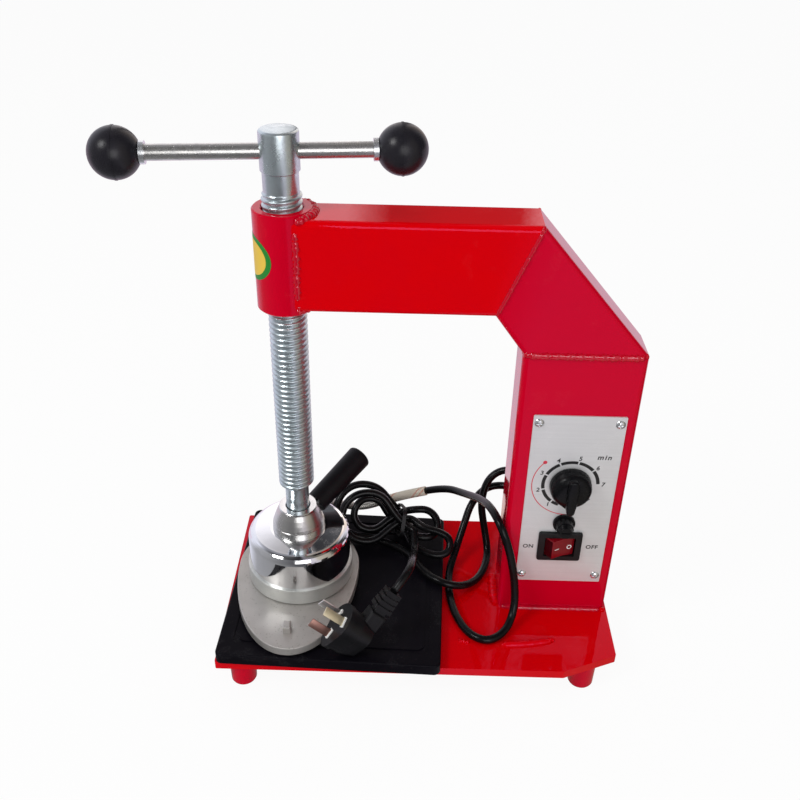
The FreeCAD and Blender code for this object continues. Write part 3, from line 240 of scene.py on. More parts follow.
class Effects:
    """Shader node groups that several finishes share."""

    def __init__(self) -> None:
        """Build each group once."""
        self.speckle = self._speckle()
        self.rings = self._rings()
        self.brushed = self._brushed()
        self.peel = self._peel()
        self.smudges = self._smudges()
        self.scratches = self._scratches()

    def _speckle(self) -> bpy.types.NodeTree:
        """Small pits and dark specks in two sizes."""
        tree = new_group(
            "speckle", [("Scale", "NodeSocketFloat", 1500.0), ("Amount", "NodeSocketFloat", 0.4)],
            [("Mask", "NodeSocketFloat"), ("Height", "NodeSocketFloat")]
        )
        w = Wiring(tree)
        place = w.place()
        cells = w.node("TexVoronoi", {"Vector": place, "Scale": w.inlet("Scale")})
        size = w.math("MULTIPLY", w.inlet("Amount"), 0.35)
        mask = w.math("LESS_THAN", cells.outputs["Distance"], size)
        chance = w.math("GREATER_THAN", w.noise(place, w.math("MULTIPLY", w.inlet("Scale"), 0.4)), 0.52)
        w.outlet("Mask", w.math("MULTIPLY", mask, chance))
        w.outlet(
            "Height", w.math("SUBTRACT", w.noise(place, w.inlet("Scale")), w.math("MULTIPLY", mask, chance))
        )
        return tree

    def _rings(self) -> bpy.types.NodeTree:
        """Fine grooves that a lathe leaves round the Z axis through a centre."""
        tree = new_group(
            "turned_rings",
            [("Centre", "NodeSocketVector", (0, 0, 0)), ("Pitch", "NodeSocketFloat", 0.0004)],
            [("Height", "NodeSocketFloat"), ("Tone", "NodeSocketFloat")],
        )
        w = Wiring(tree)
        offset = w.node("VectorMath", {0: w.place(), 1: w.inlet("Centre")}, operation="SUBTRACT").outputs[0]
        parts = w.node("SeparateXYZ", {0: offset})
        flat = w.node("CombineXYZ", {"X": parts.outputs["X"], "Y": parts.outputs["Y"]}).outputs[0]
        radius = w.node("VectorMath", {0: flat}, operation="LENGTH").outputs["Value"]
        along = w.math("ADD", radius, w.math("MULTIPLY", parts.outputs["Z"], 0.8))
        steps = w.math("DIVIDE", along, w.inlet("Pitch"))
        line = w.node(
            "TexNoise", {"W": steps, "Scale": 1.0, "Detail": 4.0, "Roughness": 0.7}, noise_dimensions="1D"
        ).outputs["Fac"]
        broad = w.node(
            "TexNoise", {"W": steps, "Scale": 0.08, "Detail": 2.0}, noise_dimensions="1D"
        ).outputs["Fac"]
        w.outlet("Height", line)
        w.outlet("Tone", broad)
        return tree

    def _brushed(self) -> bpy.types.NodeTree:
        """Straight brush lines along one direction."""
        tree = new_group(
            "brush_lines",
            [("Stretch", "NodeSocketVector", (1, 1, 1)), ("Scale", "NodeSocketFloat", 4000.0)],
            [("Height", "NodeSocketFloat"), ("Tone", "NodeSocketFloat")],
        )
        w = Wiring(tree)
        drawn = w.node("VectorMath", {0: w.place(), 1: w.inlet("Stretch")}, operation="MULTIPLY").outputs[0]
        w.outlet("Height", w.noise(drawn, w.inlet("Scale"), 4.0, 0.6))
        w.outlet("Tone", w.noise(drawn, w.math("MULTIPLY", w.inlet("Scale"), 0.12), 2.0))
        return tree

    def _peel(self) -> bpy.types.NodeTree:
        """The slow ripple of sprayed or dipped paint, with a few runs and nibs."""
        tree = new_group(
            "orange_peel", [("Scale", "NodeSocketFloat", 260.0), ("Nibs", "NodeSocketFloat", 0.25)],
            [("Height", "NodeSocketFloat")]
        )
        w = Wiring(tree)
        place = w.place()
        ripple = w.noise(place, w.inlet("Scale"), 2.0, 0.5)
        swell = w.noise(place, w.math("MULTIPLY", w.inlet("Scale"), 0.18), 2.0)
        cells = w.node(
            "TexVoronoi", {"Vector": place, "Scale": w.math("MULTIPLY", w.inlet("Scale"), 0.55)},
            feature="SMOOTH_F1"
        )
        nib = w.span(cells.outputs["Distance"], 0.16, 0.0)
        rare = w.math("GREATER_THAN", w.noise(place, w.math("MULTIPLY", w.inlet("Scale"), 0.3)), 0.62)
        bumps = w.math("MULTIPLY", w.math("MULTIPLY", nib, rare), w.inlet("Nibs"))
        grain = w.math("MULTIPLY", w.noise(place, w.math("MULTIPLY", w.inlet("Scale"), 5.0), 1.0), 0.06)
        w.outlet(
            "Height",
            w.math("ADD", grain, w.math("ADD", w.math("ADD", ripple, w.math("MULTIPLY", swell, 2.2)), bumps))
        )
        return tree

    def _smudges(self) -> bpy.types.NodeTree:
        """Soft uneven patches of handling and dust."""
        tree = new_group(
            "smudges", [("Scale", "NodeSocketFloat", 25.0), ("Contrast", "NodeSocketFloat", 0.5)],
            [("Mask", "NodeSocketFloat")]
        )
        w = Wiring(tree)
        place = w.place()
        warped = w.node(
            "TexNoise",
            {"Vector": place, "Scale": w.inlet("Scale"), "Detail": 5.0, "Roughness": 0.6, "Distortion": 0.8}
        ).outputs["Fac"]
        half = w.math("MULTIPLY", w.inlet("Contrast"), 0.3)
        shown = w.node(
            "MapRange",
            {
                "Value": warped,
                "From Min": w.math("SUBTRACT", 0.55, half),
                "From Max": w.math("ADD", 0.55, half),
            },
            interpolation_type="SMOOTHSTEP"
        )
        w.outlet("Mask", shown.outputs[0])
        return tree

    def _scratches(self) -> bpy.types.NodeTree:
        """A few hairline scratches in two directions."""
        tree = new_group("scratches", [("Scale", "NodeSocketFloat", 90.0)], [("Mask", "NodeSocketFloat")])
        w = Wiring(tree)
        place = w.place()
        found: bpy.types.NodeSocket | None = None
        for turn in ((0.3, 0.5, 0.4), (1.2, 0.2, 2.0)):
            turned = w.stretch(place, (1.0, 14.0, 14.0), turn=turn)
            cells = w.node(
                "TexVoronoi", {"Vector": turned, "Scale": w.inlet("Scale")}, feature="DISTANCE_TO_EDGE"
            )
            line = w.math("LESS_THAN", cells.outputs["Distance"], 0.012)
            rare = w.math("GREATER_THAN", w.noise(place, w.math("MULTIPLY", w.inlet("Scale"), 0.7)), 0.6)
            line = w.math("MULTIPLY", line, rare)
            found = line if found is None else w.math("MAXIMUM", found, line)
        w.outlet("Mask", found)
        return tree


# ---------------------------------------------------------------- finishes


@dataclass(frozen=True)
class Finish:
    """A material with a name; each kind builds its own nodes."""

    name: str

    def material(self, effects: Effects) -> bpy.types.Material:
        """The finished material, built once.

        Args:
            effects: shared node groups.

        Returns:
            The material.
        """
        known = bpy.data.materials.get("finish_" + self.name)
        if known is not None:
            return known
        made = bpy.data.materials.new("finish_" + self.name)
        made.use_nodes = True
        made.node_tree.nodes.clear()
        w = Wiring(made.node_tree)
        shader = w.node("BsdfPrincipled")
        out = w.node("OutputMaterial")
        made.node_tree.links.new(shader.outputs[0], out.inputs[0])
        self.dress(w, shader, effects)
        return made

    def dress(self, w: Wiring, shader: bpy.types.Node, effects: Effects) -> None:
        """Feed the shader; each kind of finish has its own."""
        raise NotImplementedError


@dataclass(frozen=True)
class GlossPaint(Finish):
    """Thick gloss enamel with orange peel."""

    colour: Colour = (0.64, 0.0, 0.001)
    shade: Colour = (0.52, 0.0, 0.008)
    tint: Colour = (1.0, 0.3, 0.75)
    roughness: float = 0.018
    peel: float = 0.000022
    nibs: float = 0.5
    gloss: float = 0.3

    def dress(self, w: Wiring, shader: bpy.types.Node, effects: Effects) -> None:
        """Red with slow tone changes, rippled gloss and thin scratches."""
        smudge = w.group(effects.smudges, Scale=14.0, Contrast=1.4).outputs["Mask"]
        peel = w.group(effects.peel, Scale=240.0, Nibs=self.nibs).outputs["Height"]
        scratch = w.group(effects.scratches, Scale=45.0).outputs["Mask"]
        base = w.blend(w.math("MULTIPLY", smudge, 0.35), self.colour, self.shade)
        w.feed(shader.inputs["Base Color"], w.blend(w.math("MULTIPLY", scratch, 0.06), base, (0.8, 0.2, 0.2)))
        w.feed(shader.inputs["Roughness"], w.math("ADD", self.roughness, w.math("MULTIPLY", smudge, 0.015)))
        w.feed(shader.inputs["Normal"], w.bump(peel, self.peel))
        shader.inputs["Specular IOR Level"].default_value = self.gloss
        shader.inputs["Specular Tint"].default_value = (*self.tint, 1.0)


@dataclass(frozen=True)
class BrushedPlate(Finish):
    """Aluminium sheet with straight brush lines."""

    colour: Colour = (0.74, 0.74, 0.75)
    stretch: Point = (0.03, 1.0, 1.0)

    def dress(self, w: Wiring, shader: bpy.types.Node, effects: Effects) -> None:
        """Satin metal with lines, faint smudges and a scratch or two."""
        lines = w.group(effects.brushed, Stretch=self.stretch, Scale=5000.0)
        smudge = w.group(effects.smudges, Scale=30.0, Contrast=0.8).outputs["Mask"]
        scratch = w.group(effects.scratches, Scale=70.0).outputs["Mask"]
        tone = w.math("ADD", w.math("MULTIPLY", lines.outputs["Tone"], 0.5), w.math("MULTIPLY", smudge, 0.2))
        dark = tuple(c * 0.8 for c in self.colour)
        base = w.blend(tone, self.colour, dark)
        w.feed(shader.inputs["Base Color"], w.blend(w.math("MULTIPLY", scratch, 0.3), base, (0.9, 0.9, 0.9)))
        shader.inputs["Metallic"].default_value = 0.4
        w.feed(shader.inputs["Roughness"], w.span(lines.outputs["Height"], 0.3, 0.7, 0.3, 0.44))
        w.feed(shader.inputs["Normal"], w.bump(lines.outputs["Height"], 0.000018))


@dataclass(frozen=True)
class TurnedMetal(Finish):
    """Metal with a lathe's fine rings round the screw axis."""

    colour: Colour = (0.72, 0.72, 0.7)
    roughness: float = 0.18
    pitch: float = 0.0004
    depth: float = 0.000012
    centre: Point = (-0.065, 0.002, 0.0)

    def dress(self, w: Wiring, shader: bpy.types.Node, effects: Effects) -> None:
        """Metal whose tone and roughness follow the rings."""
        rings = w.group(effects.rings, Centre=self.centre, Pitch=self.pitch)
        smudge = w.group(effects.smudges, Scale=60.0, Contrast=0.8).outputs["Mask"]
        dark = tuple(c * 0.72 for c in self.colour)
        tone = w.math("ADD", w.math("MULTIPLY", rings.outputs["Tone"], 0.4), w.math("MULTIPLY", smudge, 0.25))
        w.feed(shader.inputs["Base Color"], w.blend(tone, self.colour, dark))
        shader.inputs["Metallic"].default_value = 1.0
        rough = w.math("ADD", self.roughness, w.math("MULTIPLY", smudge, 0.1))
        w.feed(shader.inputs["Roughness"], rough)
        w.feed(shader.inputs["Normal"], w.bump(rings.outputs["Height"], self.depth))


@dataclass(frozen=True)
class PlatedSteel(Finish):
    """Blue-white zinc plate with patchy bloom."""

    colour: Colour = (0.66, 0.72, 0.76)
    bloom: Colour = (0.46, 0.55, 0.6)
    roughness: float = 0.3
    grain: float = 500.0

    def dress(self, w: Wiring, shader: bpy.types.Node, effects: Effects) -> None:
        """Metal with a mottled blue tone and a little grain."""
        smudge = w.group(effects.smudges, Scale=110.0, Contrast=1.0).outputs["Mask"]
        speck = w.group(effects.speckle, Scale=self.grain, Amount=0.5)
        base = w.blend(w.math("MULTIPLY", smudge, 0.6), self.colour, self.bloom)
        w.feed(
            shader.inputs["Base Color"],
            w.blend(w.math("MULTIPLY", speck.outputs["Mask"], 0.3), base, (0.25, 0.28, 0.3))
        )
        shader.inputs["Metallic"].default_value = 0.9
        w.feed(shader.inputs["Roughness"], w.math("ADD", self.roughness, w.math("MULTIPLY", smudge, 0.15)))
        w.feed(shader.inputs["Normal"], w.bump(speck.outputs["Height"], 0.00003))


@dataclass(frozen=True)
class MirrorChrome(Finish):
    """Bright plate over drawn steel, with faint dents and specks."""

    colour: Colour = (0.86, 0.87, 0.88)

    def dress(self, w: Wiring, shader: bpy.types.Node, effects: Effects) -> None:
        """Mirror with slow waves and light fingermarks."""
        smudge = w.group(effects.smudges, Scale=45.0, Contrast=0.7).outputs["Mask"]
        scratch = w.group(effects.scratches, Scale=60.0).outputs["Mask"]
        w.feed(
            shader.inputs["Base Color"],
            w.blend(w.math("MULTIPLY", smudge, 0.25), self.colour, (0.7, 0.71, 0.72))
        )
        shader.inputs["Metallic"].default_value = 1.0
        rough = w.math("ADD", w.math("MULTIPLY", smudge, 0.05), w.math("MULTIPLY", scratch, 0.15))
        w.feed(shader.inputs["Roughness"], w.math("ADD", rough, 0.045))
        waves = w.noise(w.place(), 70.0, 2.0)
        w.feed(shader.inputs["Normal"], w.bump(waves, 0.00006))


@dataclass(frozen=True)
class CastMetal(Finish):
    """Cast aluminium with a ground face: dull, mottled, with small pits."""

    colour: Colour = (0.52, 0.5, 0.47)
    dark: Colour = (0.36, 0.34, 0.32)
    roughness: float = 0.42
    pits: float = 0.55

    def dress(self, w: Wiring, shader: bpy.types.Node, effects: Effects) -> None:
        """Soft metal with mottling, pits and grinding lines."""
        smudge = w.group(effects.smudges, Scale=55.0, Contrast=1.0).outputs["Mask"]
        speck = w.group(effects.speckle, Scale=420.0, Amount=0.7)
        lines = w.group(effects.brushed, Stretch=(1.0, 0.15, 1.0), Scale=1400.0)
        tone = w.math("ADD", w.math("MULTIPLY", smudge, 0.5), w.math("MULTIPLY", lines.outputs["Tone"], 0.3))
        base = w.blend(tone, self.colour, self.dark)
        w.feed(
            shader.inputs["Base Color"],
            w.blend(w.math("MULTIPLY", speck.outputs["Mask"], self.pits), base, (0.16, 0.14, 0.12))
        )
        shader.inputs["Metallic"].default_value = 0.7
        w.feed(shader.inputs["Roughness"], w.math("ADD", self.roughness, w.math("MULTIPLY", smudge, 0.12)))
        height = w.math("ADD", speck.outputs["Height"], w.math("MULTIPLY", lines.outputs["Height"], 0.4))
        w.feed(shader.inputs["Normal"], w.bump(height, 0.00006))


@dataclass(frozen=True)
class Moulded(Finish):
    """Moulded plastic or rubber."""

    colour: Colour = (0.01, 0.0095, 0.011)
    worn: Colour = (0.02, 0.019, 0.022)
    roughness: float = 0.35
    grain: float = 900.0
    depth: float = 0.00002
    coat: float = 0.0
    gloss: float = 0.25

    def dress(self, w: Wiring, shader: bpy.types.Node, effects: Effects) -> None:
        """Dark plastic with fine grain, scuffs and dust."""
        smudge = w.group(effects.smudges, Scale=70.0, Contrast=0.8).outputs["Mask"]
        speck = w.group(effects.speckle, Scale=self.grain, Amount=0.45)
        scratch = w.group(effects.scratches, Scale=130.0).outputs["Mask"]
        base = w.blend(w.math("MULTIPLY", smudge, 0.45), self.colour, self.worn)
        w.feed(shader.inputs["Base Color"], w.blend(w.math("MULTIPLY", scratch, 0.05), base, (0.3, 0.3, 0.3)))
        w.feed(shader.inputs["Roughness"], w.math("ADD", self.roughness, w.math("MULTIPLY", smudge, 0.12)))
        w.feed(shader.inputs["Normal"], w.bump(speck.outputs["Height"], self.depth))
        shader.inputs["Coat Weight"].default_value = self.coat
        shader.inputs["Specular IOR Level"].default_value = self.gloss


@dataclass(frozen=True)
class SheetEnamel(Finish):
    """Black enamel on pressed sheet, with dust and bright rubbed edges."""

    colour: Colour = (0.0035, 0.003, 0.005)

    def dress(self, w: Wiring, shader: bpy.types.Node, effects: Effects) -> None:
        """Satin black with dust specks and rub marks."""
        smudge = w.group(effects.smudges, Scale=22.0, Contrast=0.8).outputs["Mask"]
        speck = w.group(effects.speckle, Scale=380.0, Amount=0.35)
        scratch = w.group(effects.scratches, Scale=55.0).outputs["Mask"]
        base = w.blend(w.math("MULTIPLY", smudge, 0.5), self.colour, (0.007, 0.006, 0.009))
        base = w.blend(w.math("MULTIPLY", speck.outputs["Mask"], 0.06), base, (0.3, 0.28, 0.26))
        w.feed(
            shader.inputs["Base Color"], w.blend(w.math("MULTIPLY", scratch, 0.08), base, (0.25, 0.25, 0.26))
        )
        w.feed(shader.inputs["Roughness"], w.math("ADD", 0.3, w.math("MULTIPLY", smudge, 0.15)))
        shader.inputs["Specular IOR Level"].default_value = 0.05
        w.feed(shader.inputs["Normal"], w.bump(w.noise(w.place(), 350.0, 3.0), 0.00004))


@dataclass(frozen=True)
class Woven(Finish):
    """A braid or sleeve woven in two directions along its own length."""

    colour: Colour = (0.8, 0.76, 0.66)
    gap: Colour = (0.4, 0.36, 0.28)
    metallic: float = 0.0
    roughness: float = 0.75
    around: float = 10.0
    along: float = 60.0
    tracer: bool = False

    def dress(self, w: Wiring, shader: bpy.types.Node, effects: Effects) -> None:
        """Crossing strands on the piece's own UV map."""
        uv = w.node("UVMap", uv_map="length").outputs[0]
        parts = w.node("SeparateXYZ", {0: uv})
        u = w.math("MULTIPLY", parts.outputs["X"], self.around * 2 * math.pi)
        v = w.math("MULTIPLY", parts.outputs["Y"], self.along * 2 * math.pi)
        one = w.math("SINE", w.math("ADD", u, v))
        two = w.math("SINE", w.math("SUBTRACT", u, v))
        ridge = w.math("MAXIMUM", one, two)
        tone = w.span(ridge, -0.2, 0.9)
        fray = w.noise(w.place(), 1500.0, 3.0)
        base = w.blend(w.math("MULTIPLY", tone, w.span(fray, 0.2, 0.6, 0.6, 1.0)), self.gap, self.colour)
        if self.tracer:
            spiral = w.math(
                "FRACT", w.math("ADD", parts.outputs["X"], w.math("MULTIPLY", parts.outputs["Y"], 1.3))
            )
            pair = w.math(
                "MINIMUM",
                w.math("ABSOLUTE", w.math("SUBTRACT", spiral, 0.3)),
                w.math("ABSOLUTE", w.math("SUBTRACT", spiral, 0.5))
            )
            dots = w.math("GREATER_THAN", w.math("SINE", w.math("MULTIPLY", v, 0.8)), -0.35)
            line = w.math("MULTIPLY", w.math("LESS_THAN", pair, 0.04), dots)
            base = w.blend(w.math("MULTIPLY", line, 0.75), base, (0.62, 0.1, 0.03))
        w.feed(shader.inputs["Base Color"], base)
        shader.inputs["Metallic"].default_value = self.metallic
        shader.inputs["Roughness"].default_value = self.roughness
        height = w.math("ADD", tone, w.math("MULTIPLY", fray, 0.4))
        w.feed(shader.inputs["Normal"], w.bump(height, 0.0002))


@dataclass(frozen=True)
class Ink(Finish):
    """Screen-printed ink."""

    colour: Colour = (0.004, 0.004, 0.005)

    def dress(self, w: Wiring, shader: bpy.types.Node, effects: Effects) -> None:
        """Flat ink that thins a little."""
        thin = w.noise(w.place(), 2500.0, 3.0)
        paler = tuple(min(1.0, c + 0.02) for c in self.colour)
        w.feed(shader.inputs["Base Color"], w.blend(w.span(thin, 0.45, 0.75), self.colour, paler))
        w.feed(shader.inputs["Roughness"], w.span(thin, 0.3, 0.7, 0.45, 0.6))


@dataclass(frozen=True)
class Glass(Finish):
    """Clear glass tube."""

    def dress(self, w: Wiring, shader: bpy.types.Node, effects: Effects) -> None:
        """Clear with faint streaks."""
        streak = w.noise(w.stretch(w.place(), (400.0, 60.0, 400.0)), 1.0)
        w.feed(shader.inputs["Base Color"], w.blend(streak, (0.9, 0.95, 0.93), (0.8, 0.88, 0.85)))
        w.feed(shader.inputs["Roughness"], w.span(streak, 0.3, 0.7, 0.03, 0.1))
        shader.inputs["Transmission Weight"].default_value = 0.85


@dataclass(frozen=True)
class Palette:
    """Every finish of the press by name."""

    red: Finish = GlossPaint("red_enamel")
    # Same red enamel, painted darker for the boss: painted shade on its round upright side; its heavier peel
    # and nibs are the paint's own.
    boss_painted_shade: Finish = GlossPaint(
        "red_enamel_shaded_boss", colour=(0.55, 0.0, 0.012), shade=(0.47, 0.0, 0.02), peel=0.00005, nibs=1.2
    )
    # Darker red for the beads: painted shade in the creases of the welded joints, with stronger tinted gloss.
    weld: Finish = GlossPaint(
        "red_enamel_shaded_weld", colour=(0.5, 0.0, 0.012), shade=(0.4, 0.0, 0.02), tint=(1.0, 0.8, 0.9),
        peel=0.00004, nibs=1.0, gloss=0.7
    )
    # Same red enamel as the arm, painted darker and bluer for the column, elbow and feet: painted shade where
    # the upright faces catch less light.
    red_painted_shade: Finish = GlossPaint("red_enamel_shaded_upright", colour=(0.56, 0.0, 0.014), shade=(0.46, 0.0, 0.022))
    panel: Finish = BrushedPlate("panel_sheet")
    zinc: Finish = PlatedSteel("screw_zinc", colour=(0.6, 0.67, 0.7), bloom=(0.4, 0.47, 0.5), roughness=0.24)
    zinc_bar: Finish = PlatedSteel(
        "bar_zinc", colour=(0.6, 0.59, 0.57), bloom=(0.4, 0.41, 0.42), roughness=0.22, grain=900.0
    )
    bright: Finish = PlatedSteel(
        "bright_zinc", colour=(0.78, 0.79, 0.8), bloom=(0.62, 0.66, 0.7), roughness=0.18, grain=1200.0
    )
    turned: Finish = TurnedMetal("turned_cup", colour=(0.66, 0.65, 0.63), roughness=0.25, depth=0.00002)
    turned_bright: Finish = TurnedMetal(
        "turned_ring", colour=(0.82, 0.82, 0.82), roughness=0.12, pitch=0.0003, depth=0.000008
    )
    bronze: Finish = TurnedMetal("bronze", colour=(0.6, 0.4, 0.2), roughness=0.3)
    chrome: Finish = MirrorChrome("cap_chrome")
    cast: Finish = CastMetal("cast_plate", colour=(0.52, 0.5, 0.475), dark=(0.42, 0.4, 0.385), pits=0.3)
    block: Finish = CastMetal(
        "machined_block", colour=(0.66, 0.67, 0.645), dark=(0.56, 0.57, 0.55), roughness=0.32, pits=0.1
    )
    tray: Finish = SheetEnamel("tray_enamel")
    black: Finish = Moulded("black_moulding", colour=(0.006, 0.006, 0.007), worn=(0.012, 0.011, 0.013))
    knob: Finish = Moulded(
        "knob_plastic", roughness=0.2, colour=(0.004, 0.004, 0.005), worn=(0.008, 0.008, 0.009),
        depth=0.000004, gloss=0.15
    )
    ball: Finish = Moulded(
        "ball_plastic", roughness=0.26, colour=(0.012, 0.011, 0.015), worn=(0.017, 0.016, 0.021),
        depth=0.000008
    )
    grip: Finish = Moulded(
        "grip_plastic", roughness=0.4, colour=(0.004, 0.0035, 0.005), worn=(0.008, 0.007, 0.01), gloss=0.18
    )
    rubber: Finish = Moulded(
        "cord_rubber", roughness=0.2, colour=(0.003, 0.003, 0.0035), worn=(0.005, 0.005, 0.006), grain=1500.0,
        depth=0.000001, gloss=0.2
    )
    plug: Finish = Moulded(
        "plug_rubber", roughness=0.34, colour=(0.005, 0.005, 0.006), worn=(0.01, 0.009, 0.012), depth=0.00001,
        gloss=0.22
    )
    rocker: Finish = Moulded(
        "red_rocker", colour=(0.17, 0.002, 0.006), worn=(0.24, 0.004, 0.012), roughness=0.2, coat=0.15,
        depth=0.000004
    )
    # Near-black red for a thin sheet on the rocker's end face: painted shade.
    rocker_painted_shade: Finish = Moulded(
        "red_rocker_painted_shade", colour=(0.035, 0.0, 0.002), worn=(0.05, 0.001, 0.003), roughness=0.3, gloss=0.15
    )
    yellow: Finish = Ink("yellow_sticker", colour=(0.75, 0.5, 0.05))
    green: Finish = Ink("green_sticker", colour=(0.0, 0.22, 0.015))
    white: Finish = Moulded("white_plastic", colour=(0.85, 0.85, 0.83), worn=(0.7, 0.7, 0.68), roughness=0.35)
    brass: Finish = PlatedSteel(
        "blade_brass", colour=(0.78, 0.7, 0.5), bloom=(0.7, 0.61, 0.42), roughness=0.38, grain=1500.0
    )
    nickel: Finish = PlatedSteel(
        "blade_nickel", colour=(0.78, 0.76, 0.74), bloom=(0.66, 0.64, 0.62), roughness=0.26, grain=1500.0
    )
    copper: Finish = PlatedSteel(
        "blade_copper", colour=(0.36, 0.2, 0.16), bloom=(0.26, 0.14, 0.12), roughness=0.32, grain=1500.0
    )
    mica: Finish = CastMetal("mica_board", colour=(0.6, 0.55, 0.42), dark=(0.45, 0.4, 0.3), roughness=0.7)
    braid: Finish = Woven(
        "wire_braid", colour=(0.75, 0.73, 0.68), gap=(0.2, 0.19, 0.17), metallic=0.85, roughness=0.38,
        around=6.0, along=38.0
    )
    sleeve: Finish = Woven(
        "glass_sleeve", colour=(0.86, 0.82, 0.72), gap=(0.62, 0.56, 0.45), around=14.0, along=44.0,
        tracer=True
    )
    ink: Finish = Ink("black_ink")
    red_ink: Finish = Ink("red_ink", colour=(0.6, 0.02, 0.05))
    white_ink: Finish = Ink("white_ink", colour=(0.85, 0.82, 0.8))
    glass: Finish = Glass("fuse_glass")


# ---------------------------------------------------------------- mesh helpers


@dataclass
class Shop:
    """Shared tools of every sub-assembly: the frame, the effects and the palette."""

    frame: dict
    effects: Effects = field(default_factory=Effects)
    palette: Palette = field(default_factory=Palette)

    def dress_node(self, name: str, finish: Finish) -> None:
        """Give a CAD node its finish.

        Args:
            name: the node.
            finish: its finish.
        """
        node = self.frame["nodes"][name]
        node.data.materials.clear()
        node.data.materials.append(finish.material(self.effects))

    def piece(
        self, name: str, bm: bmesh.types.BMesh, body: Body | None, finish: Finish, slot: Slot,
        smooth: float = 35.0, uv: bool = False
    ) -> bpy.types.Object:
        """Turn a bmesh into a finished piece that rides on a body.

        Args:
            name: the piece's name.
            bm: its mesh in metres, in place; it is freed.
            body: what it moves with, or None if it bends between two bodies.
            finish: its finish.
            slot: the record's slot that it stands for; not used.
            smooth: angle under which edges shade smoothly, in degrees.
            uv: keep the mesh's own normals, as a tube's.

        Returns:
            The object.
        """
        if not uv:
            bmesh.ops.remove_doubles(bm, verts=bm.verts, dist=1e-7)
            bmesh.ops.recalc_face_normals(bm, faces=bm.faces)
        limit = math.radians(smooth)
        for face in bm.faces:
            face.smooth = True
        for edge in bm.edges:
            if len(edge.link_faces) == 2 and edge.calc_face_angle(0.0) > limit:
                edge.smooth = False
        mesh = bpy.data.meshes.new(name)
        bm.to_mesh(mesh)
        bm.free()
        obj = bpy.data.objects.new(name, mesh)
        bpy.context.collection.objects.link(obj)
        mesh.materials.append(finish.material(self.effects))
        if body is not None:
            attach(obj, body.value)
        return obj


def lathe(profile: Sequence[tuple[float, float]], steps: int = 96) -> bmesh.types.BMesh:
    """Turn an open or closed profile about the Z axis.

    Args:
        profile: (radius, height) in millimetres, from one end to the other.
        steps: segments of the turn.

    Returns:
        A bmesh in metres, about the world's Z axis.
    """
    bm = bmesh.new()
    verts = [bm.verts.new((r * MM, 0.0, z * MM)) for r, z in profile]
    edges = [bm.edges.new(pair) for pair in zip(verts, verts[1:])]
    bmesh.ops.spin(
        bm, geom=verts + edges, cent=(0, 0, 0), axis=(0, 0, 1), angle=2 * math.pi, steps=steps,
        use_merge=True, use_duplicate=False
    )
    bmesh.ops.remove_doubles(bm, verts=bm.verts, dist=1e-7)
    return bm


def placed(
    bm: bmesh.types.BMesh, origin: Point, axis: Point = (0, 0, 1), turn: float = 0.0
) -> bmesh.types.BMesh:
    """Move a bmesh so that its Z axis lies along a direction from an origin.

    Args:
        bm: the bmesh, in metres.
        origin: in millimetres.
        axis: where its Z axis points.
        turn: degrees about its own axis, first.

    Returns:
        The same bmesh.
    """
    aim = Vector(axis).to_track_quat("Z", "Y").to_matrix().to_4x4() if tuple(axis) != (0, 0, 1) else Matrix()
    move = Matrix.Translation(Vector(origin) * MM)
    bmesh.ops.transform(bm, matrix=move @ aim @ Matrix.Rotation(math.radians(turn), 4, "Z"), verts=bm.verts)
    return bm


def joined(parts: Iterable[bmesh.types.BMesh]) -> bmesh.types.BMesh:
    """Put several bmeshes in one.

    Args:
        parts: bmeshes, which are freed.

    Returns:
        One bmesh with all of them.
    """
    whole = bmesh.new()
    for part in parts:
        mesh = bpy.data.meshes.new("part")
        part.to_mesh(mesh)
        part.free()
        whole.from_mesh(mesh)
        bpy.data.meshes.remove(mesh)
    return whole


def slab(size: Point, bevel: float = 0.5, segments: int = 3) -> bmesh.types.BMesh:
    """A box about the origin with rounded edges.

    Args:
        size: x, y, z in millimetres.
        bevel: edge radius in millimetres.
        segments: facets of each rounded edge.

    Returns:
        The bmesh in metres.
    """
    bm = bmesh.new()
    bmesh.ops.create_cube(bm, size=1.0)
    bmesh.ops.scale(bm, vec=[s * MM for s in size], verts=bm.verts)
    if bevel > 0:
        bmesh.ops.bevel(
            bm, geom=bm.edges[:], offset=bevel * MM, segments=segments, profile=0.5, affect="EDGES",
            material=-1
        )
    return bm


def rounded(
    bm: bmesh.types.BMesh, radius: float, angle: float = 30.0, segments: int = 3
) -> bmesh.types.BMesh:
    """Round the sharp edges of a bmesh.

    Args:
        bm: the bmesh.
        radius: in millimetres.
        angle: edges sharper than this, in degrees.
        segments: facets.

    Returns:
        The same bmesh.
    """
    sharp = [e for e in bm.edges if len(e.link_faces) == 2 and e.calc_face_angle(0.0) > math.radians(angle)]
    bmesh.ops.bevel(
        bm, geom=sharp, offset=radius * MM, segments=segments, profile=0.5, affect="EDGES", material=-1
    )
    return bm


def spline_line(points: Sequence[Point]) -> list[Vector]:
    """A smooth cord line with the route's points as its control points.

    Args:
        points: the route in millimetres.

    Returns:
        The points of its line, in metres.
    """
    curve = bpy.data.curves.new("route", "CURVE")
    curve.dimensions = "3D"
    curve.resolution_u = 10
    spline = curve.splines.new("NURBS")
    spline.points.add(len(points) - 1)
    for point, place in zip(spline.points, points):
        point.co = (*[c * MM for c in place], 1.0)
    spline.order_u = 3
    spline.use_endpoint_u = True
    mesh = evaluated(curve)
    line = [v.co.copy() for v in mesh.vertices]
    bpy.data.meshes.remove(mesh)
    return line


